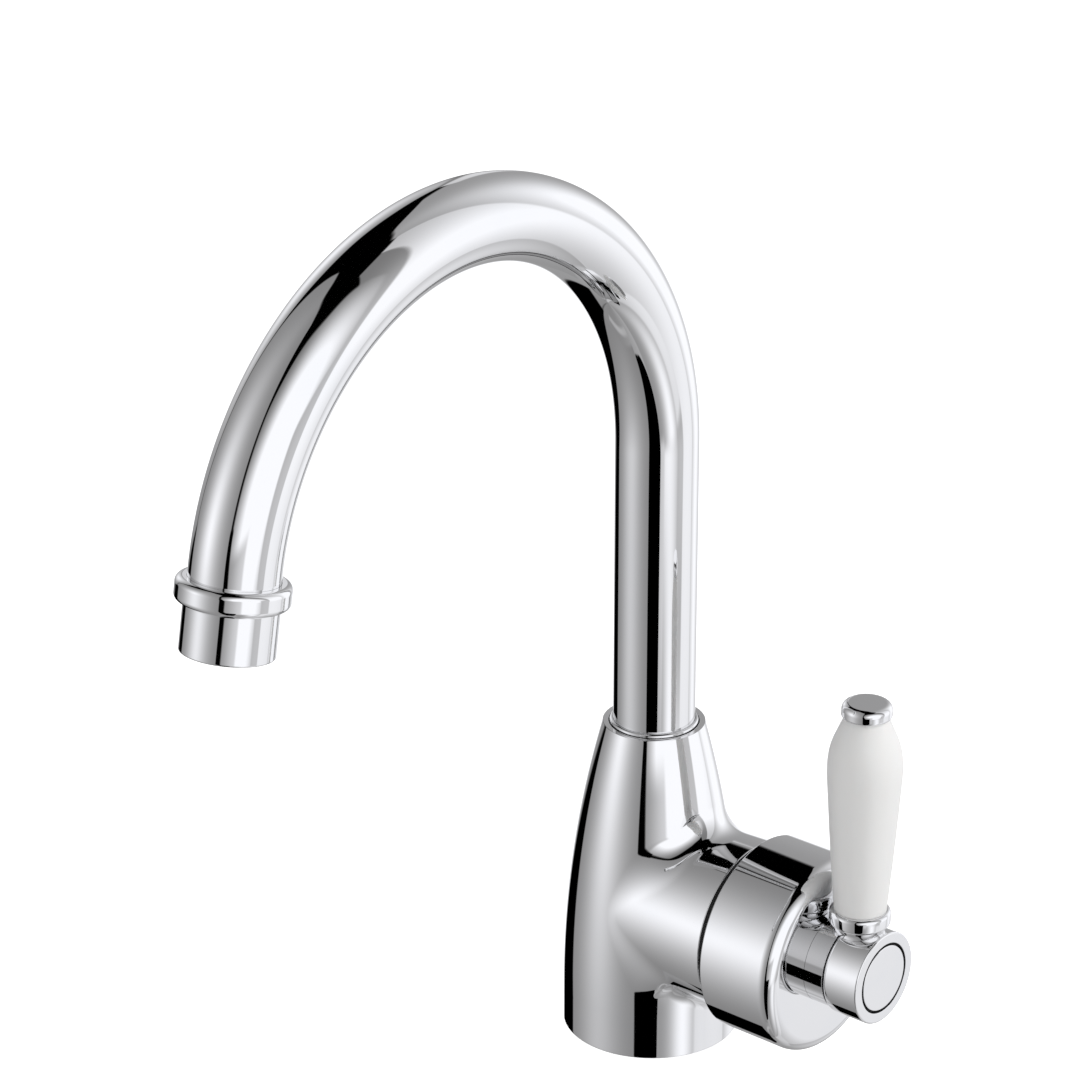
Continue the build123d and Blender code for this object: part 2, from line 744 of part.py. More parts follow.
def make_handle_screw():
    """Socket-head screw that draws the stem onto the spindle."""
    head_end = screw_seat_x + screw_head_length
    screw = sideways(screw_radius, spindle_end_x - screw_reach, screw_seat_x + over)
    screw += sideways(screw_head_radius, screw_seat_x + seat_gap, head_end)
    key = extrude(
        Plane.YZ.offset(head_end - screw_key_depth)
        * Pos(0, branch_height)
        * RegularPolygon(screw_key_width / 2, 6, major_radius=False),
        screw_key_depth + over,
    )
    return screw - key


def make_lever_ferrule():
    """Neck saddled on the knob and stem, with a rounded band under the grip."""
    low_z = (ferrule_neck_top + ferrule_band_low) / 2 - ferrule_cove
    low_radius = ferrule_neck_radius + ferrule_low_share * (ferrule_band_radius - ferrule_neck_radius)
    high_z = ferrule_band_high + ferrule_high_share * (grip_foot - ferrule_band_high)
    high_radius = ferrule_top_radius + ferrule_high_share * (ferrule_band_radius - ferrule_top_radius)
    outline = Polyline(
        (lever_x, 0, grip_foot),
        (lever_x, 0, branch_height),
        (lever_x + ferrule_neck_radius, 0, branch_height),
        (lever_x + ferrule_neck_radius, 0, ferrule_neck_top),
    )
    lines = [
        outline,
        ThreePointArc(
            (lever_x + ferrule_neck_radius, 0, ferrule_neck_top),
            (lever_x + low_radius, 0, low_z),
            (lever_x + ferrule_band_radius, 0, ferrule_band_low),
        ),
        Line(
            (lever_x + ferrule_band_radius, 0, ferrule_band_low),
            (lever_x + ferrule_band_radius, 0, ferrule_band_high),
        ),
        ThreePointArc(
            (lever_x + ferrule_band_radius, 0, ferrule_band_high),
            (lever_x + high_radius, 0, high_z),
            (lever_x + ferrule_top_radius, 0, grip_foot),
        ),
        Line((lever_x + ferrule_top_radius, 0, grip_foot), (lever_x, 0, grip_foot)),
    ]
    ferrule = turned(lines, lever_axis())
    ferrule -= upright(washer_radius + seat_gap, grip_foot - washer_height, grip_foot + over, lever_x)
    ferrule -= turned(knob_outline(seat_gap), branch_axis())
    ferrule -= sideways(stem_radius + seat_gap, hub_face_x, stem_end_x + over)
    return ferrule - upright(stud_radius + seat_gap, stud_foot, grip_foot + over, lever_x)


def make_lever_stud():
    return upright(stud_radius, stud_foot, stud_end, lever_x)


def make_grip_washer_lower():
    return upright_ring(washer_radius, stud_radius + seat_gap, grip_foot - washer_height, grip_foot, lever_x)


def make_grip_washer_upper():
    return upright_ring(washer_radius, stud_radius + seat_gap, grip_top, grip_top + washer_height, lever_x)


def make_ceramic_grip():
    """Slim pear-shaped handle: widens gently upwards, then rounds in quickly to its top."""
    low = grip_foot + seat_gap
    high = grip_top - seat_gap
    widest = grip_foot + grip_widest_rise
    swell = grip_widest_radius - grip_foot_radius
    narrow = grip_widest_radius - grip_top_radius
    side = [(grip_foot_radius, low)]
    side += [(grip_foot_radius + r * swell, grip_foot + z * grip_widest_rise) for z, r in grip_belly]
    side.append((grip_widest_radius, widest))
    side += [(grip_widest_radius - r * narrow, widest + z * (grip_top - widest)) for z, r in grip_shoulder]
    side.append((grip_top_radius, high))
    outline = [
        Line((lever_x + grip_bore_radius, 0, low), (lever_x + grip_foot_radius, 0, low)),
        Spline([(lever_x + radius, 0, z) for radius, z in side]),
        Line((lever_x + grip_top_radius, 0, high), (lever_x + grip_bore_radius, 0, high)),
        Line((lever_x + grip_bore_radius, 0, high), (lever_x + grip_bore_radius, 0, low)),
    ]
    return turned(outline, lever_axis())


def make_finial_cap():
    """Flat round cap screwed on the stud's end."""
    cap = upright(cap_radius, grip_top, cap_top, lever_x)
    rims = cap.edges().filter_by(GeomType.CIRCLE).sort_by(Axis.Z)
    cap = cap.fillet(cap_edge, [rims[-1]])
    rims = cap.edges().filter_by(GeomType.CIRCLE).sort_by(Axis.Z)
    cap = cap.fillet(cap_foot_round, [rims[0]])
    cap -= upright(washer_radius + seat_gap, grip_top - over, grip_top + washer_height, lever_x)
    return cap - upright(stud_radius + seat_gap, grip_top - over, stud_end + seat_gap, lever_x)


makers = {
    "body_casting": make_body_casting,
    "base_seal_ring": make_base_seal_ring,
    "glide_ring": make_glide_ring,
    "spout_tube": make_spout_tube,
    "spout_collar": make_spout_collar,
    "spout_spigot": make_spout_spigot,
    "spout_o_rings": make_spout_o_rings,
    "spout_lower_bush": make_lower_bush,
    "spout_upper_bush": make_upper_bush,
    "spout_retaining_ring": make_retaining_ring,
    "outlet_ring": make_outlet_ring,
    "outlet_nozzle": make_outlet_nozzle,
    "aerator_seal": make_aerator_seal,
    "aerator_housing": make_aerator_housing,
    "aerator_insert": make_aerator_insert,
    "aerator_screen": make_aerator_screen,
    "cartridge_base": make_cartridge_base,
    "cartridge_port_seals": make_port_seals,
    "cartridge_housing": make_cartridge_housing,
    "cartridge_nut": make_cartridge_nut,
    "fixed_ceramic_disc": make_fixed_disc,
    "moving_ceramic_disc": make_moving_disc,
    "disc_carrier": make_disc_carrier,
    "cartridge_rotor": make_cartridge_rotor,
    "spindle_pin": make_spindle_pin,
    "cartridge_spindle": make_spindle,
    "hub_shell": make_hub_shell,
    "handle_stem": make_handle_stem,
    "handle_knob": make_handle_knob,
    "index_disc": make_index_disc,
    "handle_screw": make_handle_screw,
    "lever_ferrule": make_lever_ferrule,
    "lever_stud": make_lever_stud,
    "grip_washer_lower": make_grip_washer_lower,
    "ceramic_grip": make_ceramic_grip,
    "grip_washer_upper": make_grip_washer_upper,
    "finial_cap": make_finial_cap,
}

os.makedirs("parts", exist_ok=True)
for name, make in makers.items():
    shape = make()
    if isinstance(shape, list):
        shape = Compound(children=[Solid(piece.solid().wrapped) for piece in shape])
    shape.label = name
    export_step(shape, f"parts/{name}.step")
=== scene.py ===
# Gooseneck basin mixer: its looks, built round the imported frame.
# Sizes in the dictionaries are millimetres and degrees, and the meshes are in metres.
import json
import math
import bpy
from mathutils import Matrix, Vector


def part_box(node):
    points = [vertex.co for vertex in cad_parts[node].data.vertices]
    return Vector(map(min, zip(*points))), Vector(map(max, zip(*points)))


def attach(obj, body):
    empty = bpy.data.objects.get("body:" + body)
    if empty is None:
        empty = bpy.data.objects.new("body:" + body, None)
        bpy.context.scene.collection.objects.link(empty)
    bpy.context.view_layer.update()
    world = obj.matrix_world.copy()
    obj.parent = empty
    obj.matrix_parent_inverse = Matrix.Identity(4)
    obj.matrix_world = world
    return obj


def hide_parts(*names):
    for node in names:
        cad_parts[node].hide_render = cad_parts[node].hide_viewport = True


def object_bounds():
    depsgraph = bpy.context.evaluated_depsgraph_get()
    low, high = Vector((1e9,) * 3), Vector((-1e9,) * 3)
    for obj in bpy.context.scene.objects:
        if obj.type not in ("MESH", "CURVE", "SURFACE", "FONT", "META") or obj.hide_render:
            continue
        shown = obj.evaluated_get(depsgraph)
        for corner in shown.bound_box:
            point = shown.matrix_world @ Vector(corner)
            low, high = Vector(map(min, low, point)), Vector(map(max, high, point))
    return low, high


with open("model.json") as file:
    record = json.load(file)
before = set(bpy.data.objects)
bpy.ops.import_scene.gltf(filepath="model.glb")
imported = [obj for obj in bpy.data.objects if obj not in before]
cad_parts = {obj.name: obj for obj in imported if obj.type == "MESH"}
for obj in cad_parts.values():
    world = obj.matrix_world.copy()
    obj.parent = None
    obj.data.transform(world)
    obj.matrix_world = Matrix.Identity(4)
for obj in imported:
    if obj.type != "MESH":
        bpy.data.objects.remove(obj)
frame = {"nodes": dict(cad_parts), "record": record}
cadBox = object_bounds()
mm = 0.001
print("frame loaded:", len(frame["nodes"]), "nodes")


def deselectAll():
    for item in bpy.context.selected_objects:
        item.select_set(False)


def activate(piece):
    deselectAll()
    piece.select_set(True)
    bpy.context.view_layer.objects.active = piece


def nodeBox(name):
    low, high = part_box(name)
    return low / mm, high / mm


# Node helpers
def giveInput(tree, socket, value):
    # another node's socket is linked, and anything else is a plain value
    if isinstance(value, bpy.types.NodeSocket):
        tree.links.new(value, socket)
    else:
        socket.default_value = value


def mathNode(tree, operation, *values):
    node = tree.nodes.new("ShaderNodeMath")
    node.operation = operation
    for socket, value in zip(node.inputs, values):
        giveInput(tree, socket, value)
    return node.outputs[0]


def rampMask(tree, value, zeroAt, oneAt):
    # smooth step from 0 to 1, either way round
    node = tree.nodes.new("ShaderNodeMapRange")
    node.interpolation_type = "SMOOTHSTEP"
    for label, wanted in (("Value", value), ("From Min", zeroAt), ("From Max", oneAt)):
        giveInput(tree, node.inputs[label], wanted)
    return node.outputs["Result"]


def mixFloat(tree, factor, first, second):
    node = tree.nodes.new("ShaderNodeMix")
    node.data_type = "FLOAT"
    for index, value in ((0, factor), (2, first), (3, second)):
        giveInput(tree, node.inputs[index], value)
    return node.outputs[0]


def makeGroup(name, inputs, outputs):
    group = bpy.data.node_groups.new(name, "ShaderNodeTree")
    for label, kind, value in inputs:
        socket = group.interface.new_socket(name=label, in_out="INPUT", socket_type="NodeSocket" + kind)
        socket.default_value = value
    for label, kind in outputs:
        group.interface.new_socket(name=label, in_out="OUTPUT", socket_type="NodeSocket" + kind)
    given, result = group.nodes.new("NodeGroupInput"), group.nodes.new("NodeGroupOutput")
    return group, given.outputs, result.inputs


def placeGroup(tree, group, values):
    node = tree.nodes.new("ShaderNodeGroup")
    node.node_tree = group
    for label, value in values.items():
        giveInput(tree, node.inputs[label], value)
    return node


# Studio: softboxes and flags round the mixer, seen by the chrome alone. Later ones cover earlier ones.
# centre and glow are (azimuth, elevation); size is (half width, low, high); spread is the glow's reach;
# bow is (azimuth, reach, drop of the top edge, rise of the low edge); levels are display brightness.
studio = {
    "chromeShare": 0.86,
    "gamma": 2.2,
    "openSky": 0.49,
    "warmGrey": (1.0, 0.98, 0.965, 1),
    "coolHighlight": (0.96, 0.968, 1.0, 1),
    # what a panel says nothing of: a black flag with straight edges
    "plain": dict(glow=(0, 0), spread=(1, 1), falloff=2.0, levels=(0.0, 0.0), lean=0.0, slant=0.0),
    "panels": {
        "ground": dict(centre=0, size=(181, -95, -12), soft=12,
                       glow=(30, -60), spread=(90, 60), levels=(0.52, 0.80)),
        "groundStreak": dict(centre=-20, size=(28, -95, -20), soft=5,
                             glow=(-9, -25), spread=(18, 44), levels=(0.56, 1.0)),
        "groundRight": dict(centre=20, size=(13, -72, -20), soft=6,
                            glow=(20, -38), spread=(30, 30), levels=(0.72, 0.91)),
        "lowArc": dict(centre=-115, size=(45, -77, -73), soft=3,
                       glow=(-115, -75), spread=(60, 60), levels=(0.60, 0.68)),
        "left": dict(centre=-126, size=(54, -68, 77), soft=3, bow=(-126, 54, 7, 0),
                     glow=(-125, 4), spread=(30.5, 40.5), falloff=1.6, levels=(0.50, 0.996)),
        "gapStrip": dict(centre=21, size=(15, -25, 70), soft=3,
                         glow=(22, -8), spread=(40, 40), levels=(0.46, 0.75)),
        "front": dict(centre=-23, size=(45, -24, 62), soft=5, bow=(-25, 45, 25, 0),
                      glow=(-19, 8), spread=(44, 44), falloff=3.0, levels=(0.39, 1.18)),
        "frontShade": dict(centre=-49.5, size=(18.5, -26, 0), soft=6,
                           glow=(-27, -12), spread=(32, 60), levels=(0.48, 0.84)),
        "gapShade": dict(centre=18, size=(11, -24, 2), soft=4,
                         glow=(22, -14), spread=(30, 30), levels=(0.62, 0.76)),
        "rightOne": dict(centre=45, size=(18, -66, 70), soft=3, lean=0.1,
                         glow=(40, 0), spread=(70, 50), falloff=1.7, levels=(0.67, 1.03)),
        "rightTwo": dict(centre=95, size=(36, -68, 73), soft=3, bow=(81, 50, 31, 0),
                         glow=(80, -3), spread=(27, 50), levels=(0.565, 1.08)),
        "thinStrip": dict(centre=130.5, size=(2.5, -5, 25), soft=2,
                          glow=(130, 8), spread=(20, 20), levels=(0.72, 0.83)),
        "rear": dict(centre=156, size=(23, -20, 40), soft=4, bow=(156, 23, 16, 0),
                     glow=(155, 12), spread=(21, 20), levels=(0.50, 0.96)),
        "low": dict(centre=127, size=(22, -32, -10), soft=7,
                    glow=(126, -22), spread=(26, 24), levels=(0.62, 1.0)),
        "seamFlag": dict(centre=-69.5, size=(3.5, -63, 8), soft=2),
        "seamShade": dict(centre=-68, size=(3, -40, 4), soft=4, lean=-0.25),
        "lowFlag": dict(centre=-56, size=(15, -62, -17), soft=2, bow=(-68, 27, 0, 45)),
        "rearFlag": dict(centre=162, size=(21, -73, -20), soft=3, slant=0.5),
    },
}


def studioPanelGroup():
    labels = ("Under", "Azimuth", "Elevation", "Centre", "Half Width", "Low", "High", "Soft", "Lean", "Slant",
              "Bow Azimuth", "Bow Reach", "Top Bow", "Low Bow", "Glow Azimuth", "Glow Elevation",
              "Glow Width", "Glow Height", "Falloff", "Edge Level", "Glow Level")
    group, given, result = makeGroup("studioPanel", [(label, "Float", 0.0) for label in labels],
                                     [("Level", "Float")])
    bowPower = 4.0

    def turn(azimuth, centre):
        return mathNode(group, "WRAP", mathNode(group, "SUBTRACT", azimuth, centre), 180.0, -180.0)

    halfSoft = mathNode(group, "MULTIPLY", given["Soft"], 0.5)
    leaned = mathNode(group, "SUBTRACT", given["Azimuth"],
                      mathNode(group, "MULTIPLY", given["Elevation"], given["Lean"]))
    aside = mathNode(group, "ABSOLUTE", turn(leaned, given["Centre"]))
    side = rampMask(group, aside, mathNode(group, "ADD", given["Half Width"], halfSoft),
                    mathNode(group, "SUBTRACT", given["Half Width"], halfSoft))
    fromBow = turn(given["Azimuth"], given["Bow Azimuth"])
    bow = mathNode(group, "POWER", mathNode(group, "DIVIDE", mathNode(group, "ABSOLUTE", fromBow),
                                            given["Bow Reach"]), bowPower)
    high = mathNode(group, "SUBTRACT", given["High"], mathNode(group, "MULTIPLY", bow, given["Top Bow"]))
    high = mathNode(group, "ADD", high, mathNode(group, "MULTIPLY", fromBow, given["Slant"]))
    low = mathNode(group, "ADD", given["Low"], mathNode(group, "MULTIPLY", bow, given["Low Bow"]))
    top = rampMask(group, given["Elevation"], mathNode(group, "ADD", high, halfSoft),
                   mathNode(group, "SUBTRACT", high, halfSoft))
    bottom = rampMask(group, given["Elevation"], mathNode(group, "SUBTRACT", low, halfSoft),
                      mathNode(group, "ADD", low, halfSoft))
    mask = mathNode(group, "MULTIPLY", side, mathNode(group, "MULTIPLY", top, bottom))
    across = mathNode(group, "DIVIDE", turn(given["Azimuth"], given["Glow Azimuth"]), given["Glow Width"])
    above = mathNode(group, "SUBTRACT", given["Elevation"], given["Glow Elevation"])
    above = mathNode(group, "DIVIDE", above, given["Glow Height"])
    distance = mathNode(group, "ADD", mathNode(group, "MULTIPLY", across, across),
                        mathNode(group, "MULTIPLY", above, above))
    fade = mathNode(group, "POWER", distance, mathNode(group, "MULTIPLY", given["Falloff"], 0.5))
    glow = mathNode(group, "EXPONENT", mathNode(group, "MULTIPLY", fade, -1.0))
    level = mathNode(group, "MINIMUM", mixFloat(group, glow, given["Edge Level"], given["Glow Level"]), 1.0)
    group.links.new(mixFloat(group, mask, given["Under"], level), result["Level"])
    return group


def buildStudio():
    world = bpy.data.worlds.new("studio")
    bpy.context.scene.world = world
    world.use_nodes = True
    tree = world.node_tree
    tree.nodes.clear()
    parts = tree.nodes.new("ShaderNodeSeparateXYZ")
    tree.links.new(tree.nodes.new("ShaderNodeTexCoord").outputs["Generated"], parts.inputs[0])
    azimuth = mathNode(tree, "DEGREES", mathNode(tree, "ARCTAN2", parts.outputs["Y"], parts.outputs["X"]))
    elevation = mathNode(tree, "DEGREES", mathNode(tree, "ARCSINE", parts.outputs["Z"]))
    group = studioPanelGroup()
    level = None
    for name, panel in studio["panels"].items():
        panel = studio["plain"] | panel
        halfWidth, low, high = panel["size"]
        bow = panel.get("bow", (panel["centre"], 90, 0, 0))
        node = placeGroup(tree, group, {
            "Azimuth": azimuth, "Elevation": elevation, "Centre": panel["centre"], "Half Width": halfWidth,
            "Low": low, "High": high, "Soft": panel["soft"], "Lean": panel["lean"],
            "Slant": panel["slant"], "Bow Azimuth": bow[0], "Bow Reach": bow[1], "Top Bow": bow[2],
            "Low Bow": bow[3], "Glow Azimuth": panel["glow"][0], "Glow Elevation": panel["glow"][1],
            "Glow Width": panel["spread"][0], "Glow Height": panel["spread"][1], "Falloff": panel["falloff"],
            "Edge Level": panel["levels"][0], "Glow Level": panel["levels"][1],
        })
        node.label = name
        if level:
            tree.links.new(level, node.inputs["Under"])
        level = node.outputs["Level"]
    light = mathNode(tree, "DIVIDE", mathNode(tree, "POWER", level, studio["gamma"]), studio["chromeShare"])
    tint = tree.nodes.new("ShaderNodeMix")
    tint.data_type = "RGBA"
    tree.links.new(level, tint.inputs["Factor"])
    tint.inputs[6].default_value = studio["warmGrey"]
    tint.inputs[7].default_value = studio["coolHighlight"]
    mirrored = tree.nodes.new("ShaderNodeBackground")
    tree.links.new(tint.outputs[2], mirrored.inputs["Color"])
    tree.links.new(light, mirrored.inputs["Strength"])
    fill = tree.nodes.new("ShaderNodeBackground")
    fill.inputs["Color"].default_value = (1, 1, 1, 1)
    fill.inputs["Strength"].default_value = studio["openSky"]
    backdrop = tree.nodes.new("ShaderNodeBackground")
    backdrop.inputs["Color"].default_value = (1, 1, 1, 1)
    backdrop.inputs["Strength"].default_value = 1.0
    path = tree.nodes.new("ShaderNodeLightPath")
    shiny = tree.nodes.new("ShaderNodeMixShader")
    tree.links.new(path.outputs["Is Glossy Ray"], shiny.inputs[0])
    tree.links.new(fill.outputs[0], shiny.inputs[1])
    tree.links.new(mirrored.outputs[0], shiny.inputs[2])
    seen = tree.nodes.new("ShaderNodeMixShader")
    tree.links.new(path.outputs["Is Camera Ray"], seen.inputs[0])
    tree.links.new(shiny.outputs[0], seen.inputs[1])
    tree.links.new(backdrop.outputs[0], seen.inputs[2])
    tree.links.new(seen.outputs[0], tree.nodes.new("ShaderNodeOutputWorld").inputs["Surface"])


# Stage: floor, lamps and camera
stage = {
    "floorSize": 4000.0,
    "floorDrop": 0.05,
    "floorColor": (0.86, 0.86, 0.86, 1),
    "floorLift": 0.75,  # camera-only glow that keeps the floor white
    "lamps": {
        # azimuth, elevation, distance, width, watts
        "keyLamp": (28, 32, 900, 500, 3.6),
        "frontLamp": (-52, 25, 1000, 600, 1.3),
        "fillLamp": (-150, 30, 1000, 600, 0.3),
    },
}
camera = {
    "place": (588.06, -739.99, 542.93),
    "yaw": 40.317,
    "pitch": 22.985,
    "roll": -0.069,
    "lens": 130.617,
    "sensor": 36.0,
    "nearest": 50.0,
}


def buildStage():
    deselectAll()
    bpy.ops.mesh.primitive_plane_add(size=stage["floorSize"] * mm, location=(0, 0, -stage["floorDrop"] * mm))
    floor = bpy.context.object
    floor.name = floor.data.name = "studioFloor"
    floor.visible_glossy = False
    material = bpy.data.materials.new("paleFloor")
    material.use_nodes = True
    tree = material.node_tree
    tree.nodes.clear()
    matte = tree.nodes.new("ShaderNodeBsdfDiffuse")
    matte.inputs["Color"].default_value = stage["floorColor"]
    lift = tree.nodes.new("ShaderNodeEmission")
    path = tree.nodes.new("ShaderNodeLightPath")
    tree.links.new(mathNode(tree, "MULTIPLY", path.outputs["Is Camera Ray"], stage["floorLift"]),
                   lift.inputs["Strength"])
    both = tree.nodes.new("ShaderNodeAddShader")
    tree.links.new(matte.outputs[0], both.inputs[0])
    tree.links.new(lift.outputs[0], both.inputs[1])
    tree.links.new(both.outputs[0], tree.nodes.new("ShaderNodeOutputMaterial").inputs["Surface"])
    floor.data.materials.append(material)

    middle = (cadBox[0] + cadBox[1]) / 2
    for name, (azimuth, elevation, distance, width, watts) in stage["lamps"].items():
        lamp = bpy.data.lights.new(name, "AREA")
        lamp.energy = watts
        lamp.size = width * mm
        holder = bpy.data.objects.new(name, lamp)
        level = math.cos(math.radians(elevation))
        out = Vector((level * math.cos(math.radians(azimuth)), level * math.sin(math.radians(azimuth)),
                      math.sin(math.radians(elevation))))
        holder.location = middle + out * distance * mm
        holder.rotation_euler = (-out).to_track_quat("-Z", "Y").to_euler()
        holder.visible_glossy = False
        bpy.context.scene.collection.objects.link(holder)


def buildCamera():
    yaw, pitch, roll = (math.radians(camera[key]) for key in ("yaw", "pitch", "roll"))
    ahead = Vector((-math.sin(yaw) * math.cos(pitch), math.cos(yaw) * math.cos(pitch), -math.sin(pitch)))
    right = Vector((math.cos(yaw), math.sin(yaw), 0))
    up = right.cross(ahead)
    right, up = right * math.cos(roll) + up * math.sin(roll), up * math.cos(roll) - right * math.sin(roll)
    data = bpy.data.cameras.new("photoCamera")
    data.lens = camera["lens"]
    data.sensor_width = camera["sensor"]
    data.clip_start = camera["nearest"] * mm
    holder = bpy.data.objects.new("photoCamera", data)
    facing = Matrix((right, up, -ahead)).transposed()
    holder.matrix_world = Matrix.Translation(Vector(camera["place"]) * mm) @ facing.to_4x4()
    bpy.context.scene.collection.objects.link(holder)
    bpy.context.scene.camera = holder


buildStudio()
buildStage()
buildCamera()
bpy.context.scene.view_settings.view_transform = "Standard"
print("studio, stage and camera ready")


# Finishes. Both groups are shared by the materials.
def smudgeGroup():
    # slow uneven haze and fine dry specks, as a mask and a height
    group, given, result = makeGroup("handlingHaze",
                                     [("Scale", "Float", 60.0), ("Speck Scale", "Float", 900.0)],
                                     [("Haze", "Float"), ("Specks", "Float")])
    place = group.nodes.new("ShaderNodeTexCoord").outputs["Object"]
    haze = group.nodes.new("ShaderNodeTexNoise")
    haze.inputs["Detail"].default_value = 3.0
    group.links.new(place, haze.inputs["Vector"])
    group.links.new(given["Scale"], haze.inputs["Scale"])
    group.links.new(rampMask(group, haze.outputs["Fac"], 0.45, 0.75), result["Haze"])
    specks = group.nodes.new("ShaderNodeTexVoronoi")
    group.links.new(place, specks.inputs["Vector"])
    group.links.new(given["Speck Scale"], specks.inputs["Scale"])
    group.links.new(rampMask(group, specks.outputs["Distance"], 0.16, 0.05), result["Specks"])
    return group


def grainGroup():
    # fine surface grain for moulded, cast and lapped faces
    group, given, result = makeGroup("fineGrain",
                                     [("Scale", "Float", 2000.0), ("Stretch", "Vector", (1, 1, 1))],
                                     [("Grain", "Float")])
    place = group.nodes.new("ShaderNodeTexCoord").outputs["Object"]
    mapping = group.nodes.new("ShaderNodeMapping")
    group.links.new(place, mapping.inputs["Vector"])
    group.links.new(given["Stretch"], mapping.inputs["Scale"])
    noise = group.nodes.new("ShaderNodeTexNoise")
    noise.inputs["Detail"].default_value = 4.0
    group.links.new(mapping.outputs["Vector"], noise.inputs["Vector"])
    group.links.new(given["Scale"], noise.inputs["Scale"])
    group.links.new(noise.outputs["Fac"], result["Grain"])
    return group


haze = smudgeGroup()
grain = grainGroup()
finishes = {}


def newFinish(name, color, roughness, metallic=0.0):
    material = bpy.data.materials.new(name)
    material.use_nodes = True
    tree = material.node_tree
    shader = tree.nodes["Principled BSDF"]
    shader.inputs["Base Color"].default_value = (*color, 1)
    shader.inputs["Roughness"].default_value = roughness
    shader.inputs["Metallic"].default_value = metallic
    finishes[name] = material
    return tree, shader


def addBump(tree, shader, height, strength, depth):
    bump = tree.nodes.new("ShaderNodeBump")
    bump.inputs["Strength"].default_value = strength
    bump.inputs["Distance"].default_value = depth * mm
    tree.links.new(height, bump.inputs["Height"])
    tree.links.new(bump.outputs["Normal"], shader.inputs["Normal"])


def blendColor(tree, shader, mask, low, high):
    mix = tree.nodes.new("ShaderNodeMix")
    mix.data_type = "RGBA"
    tree.links.new(mask, mix.inputs["Factor"])
    mix.inputs[6].default_value = (*low, 1)
    mix.inputs[7].default_value = (*high, 1)
    tree.links.new(mix.outputs[2], shader.inputs["Base Color"])


chrome = {
    "color": (0.86, 0.86, 0.865),
    "hazeColor": (0.845, 0.85, 0.86),
    "polish": 0.025,
    "hazeRough": 0.05,
    "speckRough": 0.06,
    "speckScale": 700.0,
    "hazeScale": {"chrome_body": 45.0, "chrome_spout": 38.0, "chrome_handle": 60.0, "index_chrome": 90.0},
}


def chromeFinish(name):
    tree, shader = newFinish(name, chrome["color"], chrome["polish"], 1.0)
    marks = placeGroup(tree, haze, {"Scale": chrome["hazeScale"][name], "Speck Scale": chrome["speckScale"]})
    blendColor(tree, shader, marks.outputs["Haze"], chrome["color"], chrome["hazeColor"])
    rough = mixFloat(tree, marks.outputs["Haze"], chrome["polish"], chrome["hazeRough"])
    rough = mixFloat(tree, marks.outputs["Specks"], rough, chrome["speckRough"])
    tree.links.new(rough, shader.inputs["Roughness"])


for slotName in chrome["hazeScale"]:
    chromeFinish(slotName)


ceramic = {
    "glaze": (0.88, 0.875, 0.865),
    "cloud": (0.86, 0.857, 0.85),
    "satin": 0.42,
    "depth": (0.08, (0.0012, 0.001, 0.0009)),  # share of the light that goes in, and how far by colour
    "coatRough": 0.25,
    "lapped": (0.83, 0.82, 0.79),
    "lappedCloud": (0.78, 0.77, 0.74),
    "lappedRough": 0.22,
}


def ceramicFinishes():
    tree, shader = newFinish("white_ceramic", ceramic["glaze"], ceramic["satin"])
    cloud = placeGroup(tree, grain, {"Scale": 70.0})
    blendColor(tree, shader, cloud.outputs["Grain"], ceramic["glaze"], ceramic["cloud"])
    shader.inputs["Subsurface Weight"].default_value = ceramic["depth"][0]
    shader.inputs["Subsurface Radius"].default_value = ceramic["depth"][1]
    shader.inputs["Coat Roughness"].default_value = ceramic["coatRough"]
    fine = placeGroup(tree, grain, {"Scale": 900.0})
    addBump(tree, shader, fine.outputs["Grain"], 0.12, 0.02)
    tree, shader = newFinish("disc_ceramic", ceramic["lapped"], ceramic["lappedRough"])
    cloud = placeGroup(tree, grain, {"Scale": 300.0})
    blendColor(tree, shader, cloud.outputs["Grain"], ceramic["lapped"], ceramic["lappedCloud"])


def metalFinish(name, color, worn, roughness, stretch):
    tree, shader = newFinish(name, color, roughness, 1.0)
    lines = placeGroup(tree, grain, {"Scale": 600.0, "Stretch": stretch})
    blendColor(tree, shader, lines.outputs["Grain"], color, worn)
    tree.links.new(mixFloat(tree, lines.outputs["Grain"], roughness * 0.7, roughness * 1.4),
                   shader.inputs["Roughness"])
    addBump(tree, shader, lines.outputs["Grain"], 0.25, 0.03)


def plasticFinish(name, color, dusty, roughness, depth):
    tree, shader = newFinish(name, color, roughness)
    skin = placeGroup(tree, grain, {"Scale": 1400.0})
    marks = placeGroup(tree, haze, {"Scale": 80.0, "Speck Scale": 500.0})
    blendColor(tree, shader, marks.outputs["Haze"], color, dusty)
    tree.links.new(mixFloat(tree, skin.outputs["Grain"], roughness * 0.85, roughness * 1.15),
                   shader.inputs["Roughness"])
    addBump(tree, shader, skin.outputs["Grain"], 0.3, depth)


